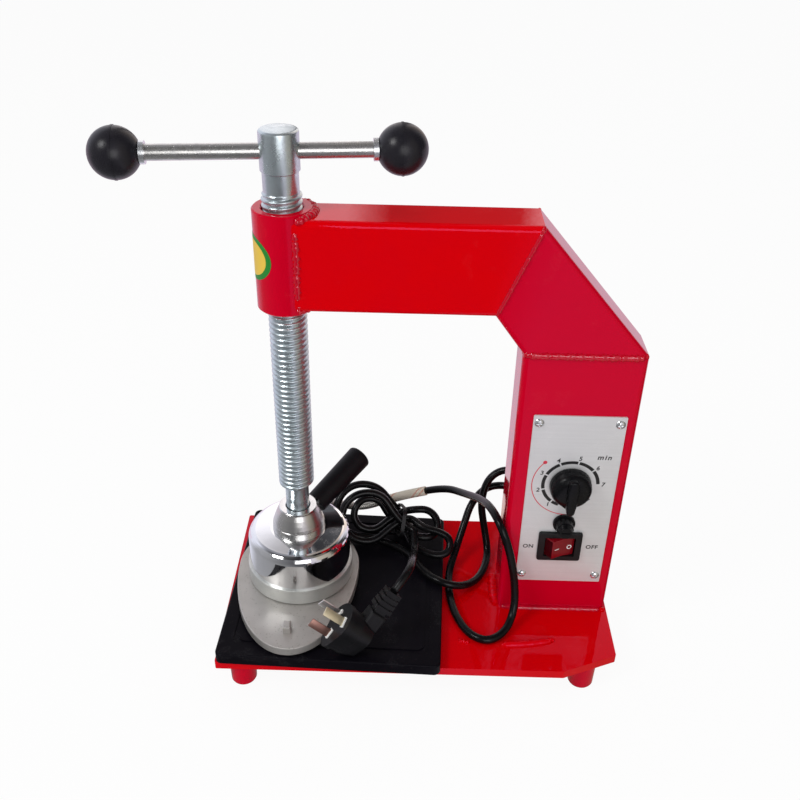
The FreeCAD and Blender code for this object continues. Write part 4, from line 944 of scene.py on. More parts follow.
def evaluated(curve: bpy.types.Curve) -> bpy.types.Mesh:
    """The mesh that a curve or a text gives.

    Args:
        curve: the curve or text; its object is removed.

    Returns:
        The mesh, which the caller removes.
    """
    obj = bpy.data.objects.new("source", curve)
    bpy.context.collection.objects.link(obj)
    bpy.context.view_layer.update()
    graph = bpy.context.evaluated_depsgraph_get()
    mesh = bpy.data.meshes.new_from_object(obj.evaluated_get(graph))
    bpy.data.objects.remove(obj)
    return mesh


def length_of(line: Sequence[Vector]) -> float:
    """Length of a line of points."""
    return sum((b - a).length for a, b in zip(line, line[1:]))


def tube(line: Sequence[Vector], radius: Callable[[float], float], sides: int = 16) -> bmesh.types.BMesh:
    """Sweep a round section along a line, closed at both ends, with a UV map of its turn and length.

    Args:
        line: points in metres.
        radius: millimetres at each share of the length, from 0 to 1.
        sides: facets round the section.

    Returns:
        The bmesh, with UV layer "length".
    """
    bm = bmesh.new()
    uv = bm.loops.layers.uv.new("length")
    total = length_of(line)
    tangents = [
        (line[min(i + 1, len(line) - 1)] - line[max(i - 1, 0)]).normalized() for i in range(len(line))
    ]
    side = tangents[0].orthogonal().normalized()
    rings: list[list[bmesh.types.BMVert]] = []
    shares: list[float] = []
    run = 0.0
    for i, (place, tangent) in enumerate(zip(line, tangents)):
        if i:
            run += (place - line[i - 1]).length
            side = (side - tangent * side.dot(tangent)).normalized()
        up = tangent.cross(side)
        size = radius(run / total) * MM
        ring = []
        for k in range(sides):
            a = 2 * math.pi * k / sides
            ring.append(bm.verts.new(place + side * (math.cos(a) * size) + up * (math.sin(a) * size)))
        rings.append(ring)
        shares.append(run)
    for i, (low, high) in enumerate(zip(rings, rings[1:])):
        for k in range(sides):
            n = (k + 1) % sides
            face = bm.faces.new((low[k], low[n], high[n], high[k]))
            corners = ((k, i), (k + 1, i), (k + 1, i + 1), (k, i + 1))
            for loop, (a, b) in zip(face.loops, corners):
                loop[uv].uv = (a / sides, shares[b] / total)
    bm.faces.new(list(reversed(rings[0])))
    bm.faces.new(rings[-1])
    return bm


# ---------------------------------------------------------------- sub-assemblies


@dataclass
class WeldedFrame:
    """Base, feet, column, elbow, arm and boss, with their weld beads."""

    shop: Shop
    base: float = 28.2
    column: tuple[float, float, float, float] = (92.0, 176.0, -16.1, 20.1)
    boss: tuple[float, float] = (-65.0, 2.0)
    boss_radius: float = 19.5
    mitre: tuple[tuple[float, float], tuple[float, float]] = ((72.0, 284.6), (98.0, 347.0))
    column_top: float = 257.2
    bead_taper: float = 5.0
    bead_ripple: tuple[float, float] = (1.9, 0.83)
    bead_sides: int = 12
    sticker_size: tuple[float, float] = (38.0, 31.0)
    sticker_turn: float = -74.0
    sticker_height: float = 319.0

    def build(self) -> None:
        """Dress the CAD nodes and lay the beads."""
        red = self.shop.palette.red
        for name in ("base_plate", "arm_tube"):
            self.shop.dress_node(name, red)
        # Column, elbow and feet take the darker red of painted shade; base and arm keep the enamel's own red.
        for name in (
            "column_tube", "elbow_tube", "foot_front_left", "foot_front_right", "foot_rear_left",
            "foot_rear_right"
        ):
            self.shop.dress_node(name, self.shop.palette.red_painted_shade)
        # The boss's darker red is painted shade.
        self.shop.dress_node("screw_boss", self.shop.palette.boss_painted_shade)
        self.foot_beads()
        self.tube_beads()
        self.boss_beads()
        self.sticker()
        LOG.info("welded frame")

    def bead(
        self, name: str, points: Sequence[Point], radius: float, lumps: float = 0.25,
        finish: Finish | None = None
    ) -> None:
        """One weld bead under paint.

        Args:
            name: the piece's name.
            points: its path in millimetres.
            radius: in millimetres.
            lumps: how much its thickness wavers, from 0 to 1.
            finish: its finish, or None for the welds' darker red, which paints shade into the beads.
        """
        line = spline_line(points)
        length = length_of(line) / MM

        def size(share: float) -> float:
            ends = min(1.0, share * length / self.bead_taper, (1.0 - share) * length / self.bead_taper)
            fast, slow = self.bead_ripple
            ripple = math.sin(share * length * fast) + 0.6 * math.sin(share * length * slow + 1.0)
            return radius * (0.35 + 0.65 * math.sqrt(max(ends, 0.0))) * (1.0 + lumps * 0.5 * ripple)

        fine: list[Vector] = []
        for a, b in zip(line, line[1:]):
            count = max(1, int((b - a).length / (1.2 * MM)))
            fine += [a.lerp(b, k / count) for k in range(count)]
        fine.append(line[-1])
        self.shop.piece(
            name, tube(fine, size, self.bead_sides), Body.FRAME, finish or self.shop.palette.weld,
            Slot.RED_PAINT, smooth=60.0, uv=True
        )

    def foot_beads(self) -> None:
        """Beads at the column's foot and along the tray's edge on the base."""
        z = self.base
        left, right, front, back = self.column
        # weld is the darker red of painted shade; red is the enamel's own.
        red, weld = self.shop.palette.red, self.shop.palette.weld
        for name, radius, lumps, finish, points in (
            (
                "weld_column_left", 4.0, 0.4, red,
                [(left - 1.2, -14, z), (left - 2.6, -4, z + 0.4), (left - 1.4, 8, z), (left - 2.0, 20, z)],
            ),
            (
                "weld_column_front", 2.6, 0.35, weld,
                [(left + 2, front, z), (left + 28, front - 0.8, z), (left + 54, front, z),
                 (right - 3, front - 0.4, z)],
            ),
            (
                "weld_column_corner", 3.0, 0.2, red,
                [(right - 3.6, front - 0.8, z), (right - 1.6, front - 0.8, z + 0.2),
                 (right + 0.2, front - 0.2, z)],
            ),
            (
                "weld_column_back", 2.4, 0.35, weld,
                [(left + 5, back, z), (left + 28, back + 0.8, z), (left + 54, back, z),
                 (right - 4, back + 0.6, z)],
            ),
            ("weld_column_right", 1.55, 0.3, weld, [(right, -10, z), (right - 0.2, 2, z), (right, 15, z)]),
            ("weld_base_short", 2.0, 0.5, red, [(60.0, -53.4, z), (64.0, -54.6, z), (68.0, -55.2, z)]),
            (
                "weld_base_long", 2.7, 0.15, red,
                [(92.0, -56.4, z), (106.4, -55.6, z), (120.0, -53.6, z), (131.0, -50.8, z)],
            ),
            (
                "weld_base_end", 2.6, 0.6, red,
                [(128.0, -51.8, z + 0.4), (130.6, -50.6, z + 0.5), (132.6, -50.2, z + 0.2)],
            ),
        ):
            self.bead(name, points, radius, lumps, finish)

    def seam(
        self, low: tuple[float, float], high: tuple[float, float], sink: float, rear: bool
    ) -> list[Point]:
        """Path across a tube's front or back, round its rounded edges.

        Args:
            low: x and z of the first edge.
            high: x and z of the other edge.
            sink: how far the path lies under the wall's face.
            rear: across the back.

        Returns:
            Points from just round the first edge to just round the other.
        """
        _, _, front, back = self.column
        face = back - sink if rear else front + sink
        side = -1.0 if rear else 1.0
        run = math.hypot(high[0] - low[0], high[1] - low[1])

        def at(along: float, depth: float) -> Point:
            share = along / run
            return (
                low[0] + (high[0] - low[0]) * share, face + side * depth, low[1] + (high[1] - low[1]) * share
            )

        steps = [
            (0.3 + sink, 5.0), (1.0 + sink, 1.0), (5.0, 0.0), (run / 2, 0.0), (run - 5.0, 0.0),
            (run - 1.0 - sink, 1.0), (run - 0.3 - sink, 4.0)
        ]
        return [at(along, depth) for along, depth in steps]

    def tube_beads(self) -> None:
        """Beads across the mitre of the arm and across the top of the column, front and back."""
        left, right, _, _ = self.column
        for rear in (False, True):
            side = "back" if rear else "front"
            self.bead("weld_arm_mitre_" + side, self.seam(*self.mitre, 0.4, rear), 1.5, 0.35)
            ends = (left, self.column_top), (right - (3.0 if rear else 0.6), self.column_top)
            self.bead("weld_column_top_" + side, self.seam(*ends, 1.2, rear), 2.9, 0.34)

    def boss_beads(self) -> None:
        """Beads where the arm meets the boss, up its front, over its shoulder and down its back."""
        x, y = self.boss
        for name, radius, lumps, points in (
            (
                "weld_boss_front", 2.6, 0.5,
                [(x + 9.5, -14.5, 292), (x + 9.2, -14.4, 306), (x + 9.8, -14.5, 318), (x + 9.2, -14.4, 340)],
            ),
            (
                "weld_boss_low", 2.3, 0.6,
                [(x + 9.5, -14.5, 284.6), (x + 10.2, -14.5, 287), (x + 10.0, -14.4, 290.5)],
            ),
            (
                "weld_boss_back", 2.0, 0.8,
                [(x + 9.4, 19.4, 288), (x + 9.8, 19.4, 305), (x + 9.2, 19.4, 325), (x + 9.6, 19.2, 341)],
            ),
        ):
            self.bead(name, points, radius, lumps)
        for name, height, reach, radius in (
            ("weld_boss_top", 346.6, 20.6, 3.0), ("weld_boss_under", 284.8, 20.2, 2.0)
        ):
            turns = [math.radians(a) for a in (-62, -48, -24, 0, 24, 48, 62)]
            self.bead(
                name, [(x + reach * math.cos(a), y + reach * math.sin(a), height) for a in turns],
                radius, 0.25
            )

    def sticker(self) -> None:
        """Plain oval sticker with a rim, wrapped round the boss's left side."""
        palette = self.shop.palette
        x, y = self.boss
        for name, share, lift, finish in (
            ("sticker_rim", 1.0, 0.1, palette.green), ("sticker_field", 0.8, 0.15, palette.yellow)
        ):
            width, height = self.sticker_size
            bm = lathe([(share * step / 6, 0.0) for step in range(7)], 48)
            for vert in bm.verts:
                turn = math.radians(self.sticker_turn) + vert.co.x / MM * width / 2 / self.boss_radius
                reach = self.boss_radius + lift
                rise = self.sticker_height + vert.co.y / MM * height / 2
                vert.co = Vector((x + reach * math.sin(turn), y - reach * math.cos(turn), rise)) * MM
            self.shop.piece(name, bm, Body.FRAME, finish, Slot.RED_PAINT, smooth=60.0)


@dataclass
class HeaterTray:
    """Pressed tray and the lower hot plate that stands on it."""

    shop: Shop

    def build(self) -> None:
        """Dress the tray, the plate and what is under it."""
        palette = self.shop.palette
        self.shop.dress_node("heater_tray", palette.tray)
        self.shop.dress_node("lower_hot_plate", palette.cast)
        self.shop.dress_node("plate_lug", palette.cast)
        self.shop.dress_node("lower_heater_ring", palette.zinc_bar)
        self.shop.dress_node("lower_insulator", palette.mica)
        self.shop.dress_node("lower_thermostat", palette.white)
        LOG.info("heater tray")


@dataclass
class PressScrew:
    """Threaded screw, its tip and head, the tommy bar and its balls."""

    shop: Shop
    x: float = -65.0
    y: float = 2.0
    root: float = 11.5
    crest: float = 13.0
    pitch: float = 4.0
    bottom: float = 135.0
    turns: int = 56
    steps: int = 40
    run_in: float = 0.55
    run_out: float = 0.8
    facets: int = 64

    def build(self) -> None:
        """Make the screw, dress the bar and its balls."""
        palette = self.shop.palette
        parts = [self.thread(), self.shank(), self.head()]
        screw = self.shop.piece(
            "press_screw_threaded", placed(joined(parts), (self.x, self.y, 0)), Body.SCREW, palette.zinc,
            Slot.ZINC_STEEL, smooth=32.0
        )
        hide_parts("press_screw")
        self.shop.dress_node("split_ring", palette.bright)
        self.shop.dress_node("thrust_washer", palette.bronze)
        self.shop.dress_node("tommy_bar", palette.zinc_bar)
        for side in ("left", "right"):
            self.shop.dress_node("ball_knob_" + side, palette.ball)
            self.shop.dress_node("bar_collar_" + side, palette.bright)
        LOG.info("press screw")

    def thread(self) -> bmesh.types.BMesh:
        """Helical thread whose ends run out into the root.

        Returns:
            The thread's surface in metres, about the Z axis.
        """
        pitch, root, crest = self.pitch, self.root, self.crest
        profile = [
            (root, 0.0), (root + 0.12, 0.16), (crest - 0.15, 0.36), (crest, 0.44), (crest, 0.60),
            (crest - 0.15, 0.68), (root + 0.12, 0.88), (root, 1.0)
        ]
        bm = bmesh.new()
        verts = [bm.verts.new((r * MM, 0.0, (self.bottom - pitch + h * pitch) * MM)) for r, h in profile]
        edges = [bm.edges.new(pair) for pair in zip(verts, verts[1:])]
        count = self.steps * (self.turns + 2)
        rise = pitch * (self.turns + 2) * MM / count
        bmesh.ops.spin(
            bm, geom=verts + edges, cent=(0, 0, 0), axis=(0, 0, 1), dvec=(0, 0, rise),
            angle=2 * math.pi * (self.turns + 2), steps=count, use_merge=False, use_duplicate=False,
        )
        bmesh.ops.remove_doubles(bm, verts=bm.verts, dist=1e-6)
        top = self.bottom + self.turns * pitch
        for v in bm.verts:
            z = v.co.z / MM
            radius = math.hypot(v.co.x, v.co.y) / MM
            low = root - 0.3 + max(0.0, z - self.bottom + 3.0) * self.run_in
            high = root - 0.3 + max(0.0, top - z + 1.0) * self.run_out
            limit = min(crest, low, high)
            if radius > limit:
                v.co.x *= limit / radius
                v.co.y *= limit / radius
        return bm

    def shank(self) -> bmesh.types.BMesh:
        """Tip, core and neck.

        Returns:
            The turned shank about the Z axis.
        """
        core = self.root - 0.25
        top = self.bottom + self.turns * self.pitch
        profile = [
            (0, 96.0), (7.9, 96.0), (8.7, 96.8), (8.7, 103.6), (7.2, 103.6), (7.2, 107.0), (8.7, 107.0),
            (8.7, 131.0), (9.0, 131.6)
        ]
        profile += [(core, 134.6), (core, top + 1.0), (11.4, top + 1.6), (11.4, 372.6), (11.0, 373.0)]
        return lathe(profile, self.facets)

    def head(self) -> bmesh.types.BMesh:
        """Head with rounded ends, which the bar crosses.

        Returns:
            The head about the Z axis.
        """
        profile = [
            (10.9, 373.0), (12.0, 373.0), (12.5, 373.5), (12.5, 396.6), (12.2, 397.6), (11.4, 398.3),
            (10.2, 398.6), (0, 398.6)
        ]
        return lathe(profile, self.facets)


@dataclass
class HeatingHead:
    """Swivelling upper head: block, chromed cap, cup and handle."""

    shop: Shop

    def build(self) -> None:
        """Dress the head's nodes."""
        palette = self.shop.palette
        for name, finish in {
            "head_cup": palette.turned,
            "cup_nut": palette.turned_bright,
            "head_cap": palette.chrome,
            "upper_hot_block": palette.block,
            "upper_insulation": palette.mica,
            "upper_heater_ring": palette.zinc_bar,
            "handle_rod": palette.bright,
            "handle_grip": palette.grip,
            "lead_bush": palette.bright,
        }.items():
            self.shop.dress_node(name, finish)
        LOG.info("heating head")


@dataclass
class ControlPanel:
    """Panel sheet with its print, knob, fuse and rocker switch."""

    shop: Shop
    left: float = 92.0
    base: float = 28.0
    front: float = -17.0
    dial: tuple[float, float] = (43.2, 124.0)
    ring_radius: float = 19.7
    ring_width: float = 2.5
    number_radius: float = 23.5
    pivot: tuple[float, float] = (41.6, 66.2)
    numbers: int = 7
    first_number: float = 232.0
    number_step: float = -38.4
    print_height: float = 0.04
    ring_start: float = 250.0
    ring_gap: float = 1.6
    auto_radius: float = 27.7
    auto_start: float = 136.0
    auto_width: float = 0.65
    auto_dot: float = 1.5
    tick: tuple[float, float, float, float] = (18.9, 3.0, -39.0, -47.0)
    ink_weight: float = 0.024
    rocker_half: float = 8.3
    rocker_lean: float = -math.atan2(5.4, 5.1)

    def build(self) -> None:
        """Dress the CAD nodes, then print the dial and the words."""
        palette = self.shop.palette
        for name, finish in {
            "control_panel": palette.panel,
            "panel_screws": palette.bright,
            "timer_body": palette.zinc_bar,
            "fuse_holder": palette.knob,
            "fuse_cap": palette.knob,
            "glass_fuse": palette.glass,
            "switch_housing": palette.black,
            "terminal_block": palette.white,
        }.items():
            self.shop.dress_node(name, finish)
        self.knob()
        self.rocker()
        self.print_dial()
        self.print_words()
        LOG.info("control panel")

    def at(self, x: float, z: float) -> tuple[float, float]:
        """A place on the panel as x and z of the press, in millimetres."""
        return self.left + x, self.base + z

    def prism(
        self, outline: Sequence[tuple[float, float]], low: float, high: float, bevel: float
    ) -> bmesh.types.BMesh:
        """A block with an outline on the panel, standing out from it.

        Args:
            outline: x and z about the dial's middle.
            low: how far out it starts, in millimetres.
            high: how far out it ends.
            bevel: radius of its edges.

        Returns:
            The block in place.
        """
        x, z = self.at(*self.dial)
        bm = bmesh.new()
        face = bm.faces.new(
            [bm.verts.new(((x + a) * MM, (self.front - low) * MM, (z + b) * MM)) for a, b in outline]
        )
        grown = bmesh.ops.extrude_face_region(bm, geom=[face])
        moved = [v for v in grown["geom"] if isinstance(v, bmesh.types.BMVert)]
        bmesh.ops.translate(bm, vec=(0, (low - high) * MM, 0), verts=moved)
        return rounded(bm, bevel, 25.0, 4)

    def knob(self) -> None:
        """Pointer knob: a domed drum, the beak under its pointer and the raised grip bar."""
        x, z = self.at(*self.dial)
        profile = [
            (0, 0.4), (14.6, 0.4), (15.1, 0.9), (15.0, 4.0), (14.5, 7.6), (13.4, 10.0), (11.4, 11.6),
            (8.0, 12.5), (0, 12.9)
        ]
        drum = placed(lathe(profile, 72), (x, self.front, z), (0, -1, 0))
        beak = self.prism([(-12.9, -7.4), (-3.2, -16.6), (3.2, -16.6), (12.9, -7.4)], 0.5, 8.4, 1.6)
        waist = [
            (-3.6, 12.0), (0.0, 13.0), (3.6, 12.0), (4.4, 4.0), (3.9, -8.0), (3.0, -16.0), (1.4, -17.8),
            (-1.4, -17.8), (-3.0, -16.0), (-3.9, -8.0), (-4.4, 4.0)
        ]
        bar = self.prism(waist, 1.0, 15.3, 1.8)
        knob = self.shop.piece(
            "timer_knob_moulded", joined([drum, beak, bar]), Body.KNOB, self.shop.palette.knob,
            Slot.BLACK_PLASTIC, smooth=32.0
        )
        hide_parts("timer_knob")

    def rocker(self) -> None:
        """Rocker with its left end out: a thin near-black sheet of painted shade on its end face, a shallow
        dished face and its two marks.
        """
        palette = self.shop.palette
        x, z = self.at(*self.pivot)
        half = self.rocker_half
        outline = [
            (-10.9, 1.0), (-5.8, 6.4), (2.0, 2.6), (10.9, 0.1), (10.4, -3.4), (5.0, -4.4), (-5.0, -4.4),
            (-10.6, -2.6)
        ]
        bm = bmesh.new()
        face = bm.faces.new(
            [bm.verts.new(((x + a) * MM, (self.front - b) * MM, (z - half) * MM)) for a, b in outline]
        )
        grown = bmesh.ops.extrude_face_region(bm, geom=[face])
        bmesh.ops.translate(
            bm, vec=(0, 0, 2 * half * MM),
            verts=[v for v in grown["geom"] if isinstance(v, bmesh.types.BMVert)]
        )
        rocker = self.shop.piece(
            "switch_rocker_moulded", rounded(bm, 0.45, 20.0, 3), Body.ROCKER, palette.rocker,
            Slot.RED_PLASTIC, smooth=30.0
        )
        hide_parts("switch_rocker")
        # Thin near-black sheet over the rocker's left end face: painted shade where that end turns from the
        # light.
        end = slab((6.4, 0.06, 2 * half - 1.0), 0.0)
        turn = Matrix.Rotation(self.rocker_lean, 4, "Z")
        bmesh.ops.transform(
            end, matrix=Matrix.Translation(Vector((x - 8.4, self.front - 3.76, z)) * MM) @ turn,
            verts=end.verts
        )
        self.shop.piece(
            "switch_rocker_painted_shade", end, Body.ROCKER, palette.rocker_painted_shade, Slot.RED_PLASTIC, smooth=30.0
        )
        dash = placed(slab((3.6, 0.6, 0.1), 0.0), (0, 0, 0), (0, 0, 1), 5.0)
        ring = lathe([(1.3, 0.0), (1.95, 0.0), (1.95, 0.1), (1.3, 0.1), (1.3, 0.0)], 32)
        marks = []
        for mark, along, out, lean in ((dash, -2.3, 5.0, -0.454), (ring, 7.2, 1.3, -0.274)):
            upright = Matrix.Rotation(-lean, 4, "Z") @ Matrix.Rotation(math.radians(90), 4, "X")
            bmesh.ops.transform(
                mark, matrix=Matrix.Translation(Vector((x + along, self.front - out, z)) * MM) @ upright,
                verts=mark.verts
            )
            marks.append(mark)
        self.shop.piece(
            "switch_rocker_marks", joined(marks), Body.ROCKER, palette.white_ink, Slot.RED_PLASTIC,
            smooth=30.0
        )

    def arc(self, radius: float, width: float, start: float, end: float) -> bmesh.types.BMesh:
        """A printed arc on the panel round the dial.

        Args:
            radius: middle radius in millimetres.
            width: line width.
            start: angle in degrees, anticlockwise from the right.
            end: angle in degrees.

        Returns:
            A thin raised strip.
        """
        x, z = self.at(*self.dial)
        bm = bmesh.new()
        a = math.radians(start)
        span = math.radians(end - start)
        inner, outer = radius - width / 2, radius + width / 2
        corners = [(inner, 0.0), (outer, 0.0), (outer, -self.print_height), (inner, -self.print_height)]
        verts = [
            bm.verts.new(((x + r * math.cos(a)) * MM, (self.front + d) * MM, (z + r * math.sin(a)) * MM))
            for r, d in corners
        ]
        face = bm.faces.new(verts)
        bmesh.ops.spin(
            bm, geom=[face], cent=(x * MM, 0, z * MM), axis=(0, -1, 0), angle=span,
            steps=max(2, int(abs(end - start) / 4)), use_duplicate=False,
        )
        return bm

    def print_dial(self) -> None:
        """Black ring in segments, red automatic arc with its dot, and a tick."""
        palette = self.shop.palette
        marks = [self.first_number + self.number_step * k for k in range(self.numbers)]
        stops = [self.ring_start] + marks
        arcs = []
        for index, (start, end) in enumerate(zip(stops, stops[1:])):
            gap = self.ring_gap if index else 0.0
            arcs.append(self.arc(self.ring_radius, self.ring_width, start - gap, end + self.ring_gap))
        arcs.append(self.arc(*self.tick))
        self.shop.piece("dial_ring_print", joined(arcs), Body.FRAME, palette.ink, Slot.PANEL, smooth=30.0)
        radius = self.auto_radius
        red = [self.arc(radius, self.auto_width, self.auto_start, 270.0)]
        x, z = self.at(*self.dial)
        a = math.radians(self.auto_start)
        dot = lathe(
            [(0, 0), (self.auto_dot, 0), (self.auto_dot, self.print_height), (0, self.print_height)], 24
        )
        spot = (x + radius * math.cos(a), self.front, z + radius * math.sin(a))
        red.append(placed(dot, spot, (0, -1, 0)))
        self.shop.piece("dial_auto_print", joined(red), Body.FRAME, palette.red_ink, Slot.PANEL, smooth=30.0)

    def word(
        self, text: str, size: float, x: float, z: float, lean: float = 0.0, spacing: float = 1.0
    ) -> bmesh.types.BMesh:
        """A printed word on the panel, centred.

        Args:
            text: what it says.
            size: letter height scale in millimetres.
            x: centre on the panel.
            z: centre on the panel.
            lean: slant of its letters.
            spacing: how wide its letters stand, as a factor.

        Returns:
            The letters as a thin mesh.
        """
        curve = bpy.data.curves.new("word", "FONT")
        curve.body = text
        curve.size = size * MM
        curve.align_x = "CENTER"
        curve.align_y = "CENTER"
        curve.shear = lean
        curve.offset = size * MM * self.ink_weight
        curve.space_character = spacing
        curve.extrude = self.print_height * MM / 2
        curve.resolution_u = 3
        mesh = evaluated(curve)
        bm = bmesh.new()
        bm.from_mesh(mesh)
        bpy.data.meshes.remove(mesh)
        px, pz = self.at(x, z)
        place = Matrix.Translation(Vector((px, self.front - self.print_height / 2, pz)) * MM)
        upright = Matrix.Rotation(math.radians(90), 4, "X")
        bmesh.ops.transform(bm, matrix=place @ upright, verts=bm.verts)
        return bm

    def print_words(self) -> None:
        """Numbers, minutes and switch words."""
        words = []
        x, z = self.dial
        for k in range(self.numbers):
            a = math.radians(self.first_number + self.number_step * k)
            across, up = self.number_radius * math.cos(a), self.number_radius * math.sin(a)
            words.append(self.word(str(k + 1), 5.0, x + across, z + up, 0.1))
        words.append(self.word("min", 5.8, 64.6, 148.6, 0.18, 1.25))
        words.append(self.word("ON", 4.9, 18.2, 64.7, 0.05, 1.1))
        words.append(self.word("OFF", 4.9, 66.0, 65.2, 0.05, 1.1))
        self.shop.piece(
            "panel_words_print", joined(words), Body.FRAME, self.shop.palette.ink, Slot.PANEL, smooth=30.0
        )


@dataclass
class Cords:
    """Mains cord with its tied hank and plug, and the head's heater lead."""

    shop: Shop
    radius: float = 3.1
    sides: int = 14
    braid_radius: float = 3.4
    sleeve_radius: float = 3.9
    plug_centre: Point = (-29.1, -73.5, 65.0)
    plug_angles: Point = (34.9, 43.6, 66.6)
    blade_size: Point = (6.4, 1.5, 18.0)
    mains: list[Point] = field(
        default_factory=lambda: [
            (112.0, 42.0, 101.0), (112.0, 57.0, 101.0), (100.0, 69.0, 101.5), (85.0, 66.5, 93.0),
            (79.5, 58.0, 74.0), (83.5, 53.0, 52.0), (87.5, 44.0, 33.6), (84.5, 26.0, 31.2),
            (76.0, 8.0, 31.6), (63.0, -4.0, 36.4), (48.0, -5.0, 40.8), (34.5, 6.0, 40.4), (26.0, 20.0, 40.4),
        ]
    )
    plug: list[Point] = field(
        default_factory=lambda: [
            (25.0, 37.5, 54.0), (25.6, 24.5, 47.0), (24.4, 8.0, 56.5), (23.6, -9.0, 72.0),
            (23.4, -28.0, 85.5), (20.4, -48.6, 91.9), (9.88, -55.99, 79.64),
        ]
    )
    lead: list[Point] = field(
        default_factory=lambda: [
            (34.0, 75.0, 70.5), (49.75, 70.05, 78.6), (65.5, 51.0, 87.6), (77.0, 22.0, 105.0),
            (82.5, -4.0, 117.0), (89.5, -22.0, 112.0), (97.5, -25.5, 88.0), (102.5, -26.0, 60.0),
            (103.0, -32.0, 41.0), (96.5, -45.5, 31.6), (82.0, -57.0, 31.3), (67.0, -49.0, 31.2),
            (57.5, -29.0, 31.3), (53.5, -6.0, 31.2), (53.8, 17.0, 31.8), (59.5, 35.0, 39.0),
            (66.0, 50.0, 53.5), (72.0, 61.5, 69.5), (84.0, 71.0, 79.5), (101.0, 70.5, 83.0),
            (112.0, 58.0, 84.0), (112.0, 42.0, 84.0),
        ]
    )
    sleeve: list[Point] = field(
        default_factory=lambda: [
            (-55.69, 45.82, 68.0), (-52.78, 59.52, 68.0), (-41.0, 73.5, 55.0), (-21.0, 81.5, 45.5),
            (-2.25, 81.0, 53.5), (16.5, 80.5, 61.5), (34.0, 75.0, 70.5),
        ]
    )

    def build(self) -> None:
        """Make every cord and dress its ends."""
        palette = self.shop.palette
        for name in ("mains_gland", "lead_gland"):
            self.shop.dress_node(name, palette.rubber)
        self.shop.dress_node("cord_tie", palette.black)
        self.shop.dress_node("plug_body", palette.plug)
        self.mains_and_plug()
        self.head_lead()
        self.sleeved_end()
        LOG.info("cords")

    def mains_and_plug(self) -> None:
        """One unbroken cord from its gland through the hank to the plug."""
        points = self.mains + Hank().corners(self.mains, self.plug) + self.plug
        blades = self.blades()
        line = spline_line(points)
        cord = self.shop.piece(
            "mains_cord_whole", tube(line, lambda s: self.radius, self.sides), Body.FRAME,
            self.shop.palette.rubber, Slot.BLACK_RUBBER, smooth=60.0, uv=True
        )
        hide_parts("mains_cord", "cord_hank", "plug_lead")

    def blades(self) -> list[bpy.types.Object]:
        """The plug's three blades, each with a pale collar at its root.

        Returns:
            The pieces.
        """
        palette = self.shop.palette
        turn, rise, pitch = (math.radians(v) for v in self.plug_angles)
        cord = Vector((math.cos(turn) * math.cos(rise), math.sin(turn) * math.cos(rise), math.sin(rise)))
        level = Vector((-math.sin(turn), math.cos(turn), 0.0))
        blade = level * math.cos(pitch) + cord.cross(level) * math.sin(pitch)
        across = cord.cross(blade)
        width, thickness, length = self.blade_size
        made = []
        collars = []
        for name, along, aside, lean, finish in (
            ("plug_blade_live", 3.96, -6.86, 30.0, palette.nickel),
            ("plug_blade_neutral", 3.96, 6.86, -30.0, palette.brass),
            ("plug_blade_earth", -10.3, 0.0, 0.0, palette.copper),
        ):
            a = math.radians(lean)
            wide = cord * math.cos(a) + across * math.sin(a)
            thin = across * math.cos(a) - cord * math.sin(a)
            root = Vector(self.plug_centre) + cord * along + across * aside
            turned = Matrix((wide, thin, blade)).transposed().to_4x4()
            shape = slab(self.blade_size, 0.35, 2)
            bmesh.ops.transform(
                shape, matrix=Matrix.Translation((root + blade * length / 2) * MM) @ turned, verts=shape.verts
            )
            made.append(self.shop.piece(name, shape, Body.FRAME, finish, Slot.PLUG_METAL, smooth=30.0))
            collar = slab((width + 1.4, thickness + 1.4, 1.6), 0.3, 2)
            bmesh.ops.transform(
                collar, matrix=Matrix.Translation((root + blade * 0.6) * MM) @ turned, verts=collar.verts
            )
            collars.append(collar)
        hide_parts("plug_blades")
        made.append(
            self.shop.piece(
                "plug_blade_collars", joined(collars), Body.FRAME, palette.white, Slot.PLUG_METAL, smooth=30.0
            )
        )
        return made

    def head_lead(self) -> None:
        """Lead from the sleeve's end to its gland, baked in place and on no body."""
        line = spline_line(self.lead)
        cord = self.shop.piece(
            "head_lead_cord", tube(line, lambda s: self.radius, self.sides), None, self.shop.palette.rubber,
            Slot.BLACK_RUBBER, smooth=60.0, uv=True
        )
        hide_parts("head_lead")
        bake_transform(cord)

    def sleeved_end(self) -> None:
        """Wire braid from the cap, then a glass-fibre sleeve with a red tracer."""
        palette = self.shop.palette
        line = spline_line(self.sleeve)
        cut = min(range(len(line)), key=lambda i: (line[i] - Vector(self.sleeve[4]) * MM).length)
        braid = self.shop.piece(
            "lead_braid_woven", tube(line[: cut + 1], lambda s: self.braid_radius, 16), None, palette.braid,
            Slot.BRAID, smooth=60.0, uv=True
        )
        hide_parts("lead_braid")
        sleeve = self.shop.piece(
            "lead_sleeve_woven", tube(line[cut:], lambda s: self.sleeve_radius, 20), None, palette.sleeve,
            Slot.GLASS_FIBRE, smooth=60.0, uv=True
        )
        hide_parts("lead_sleeve")
        for part in (braid, sleeve):
            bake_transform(part)


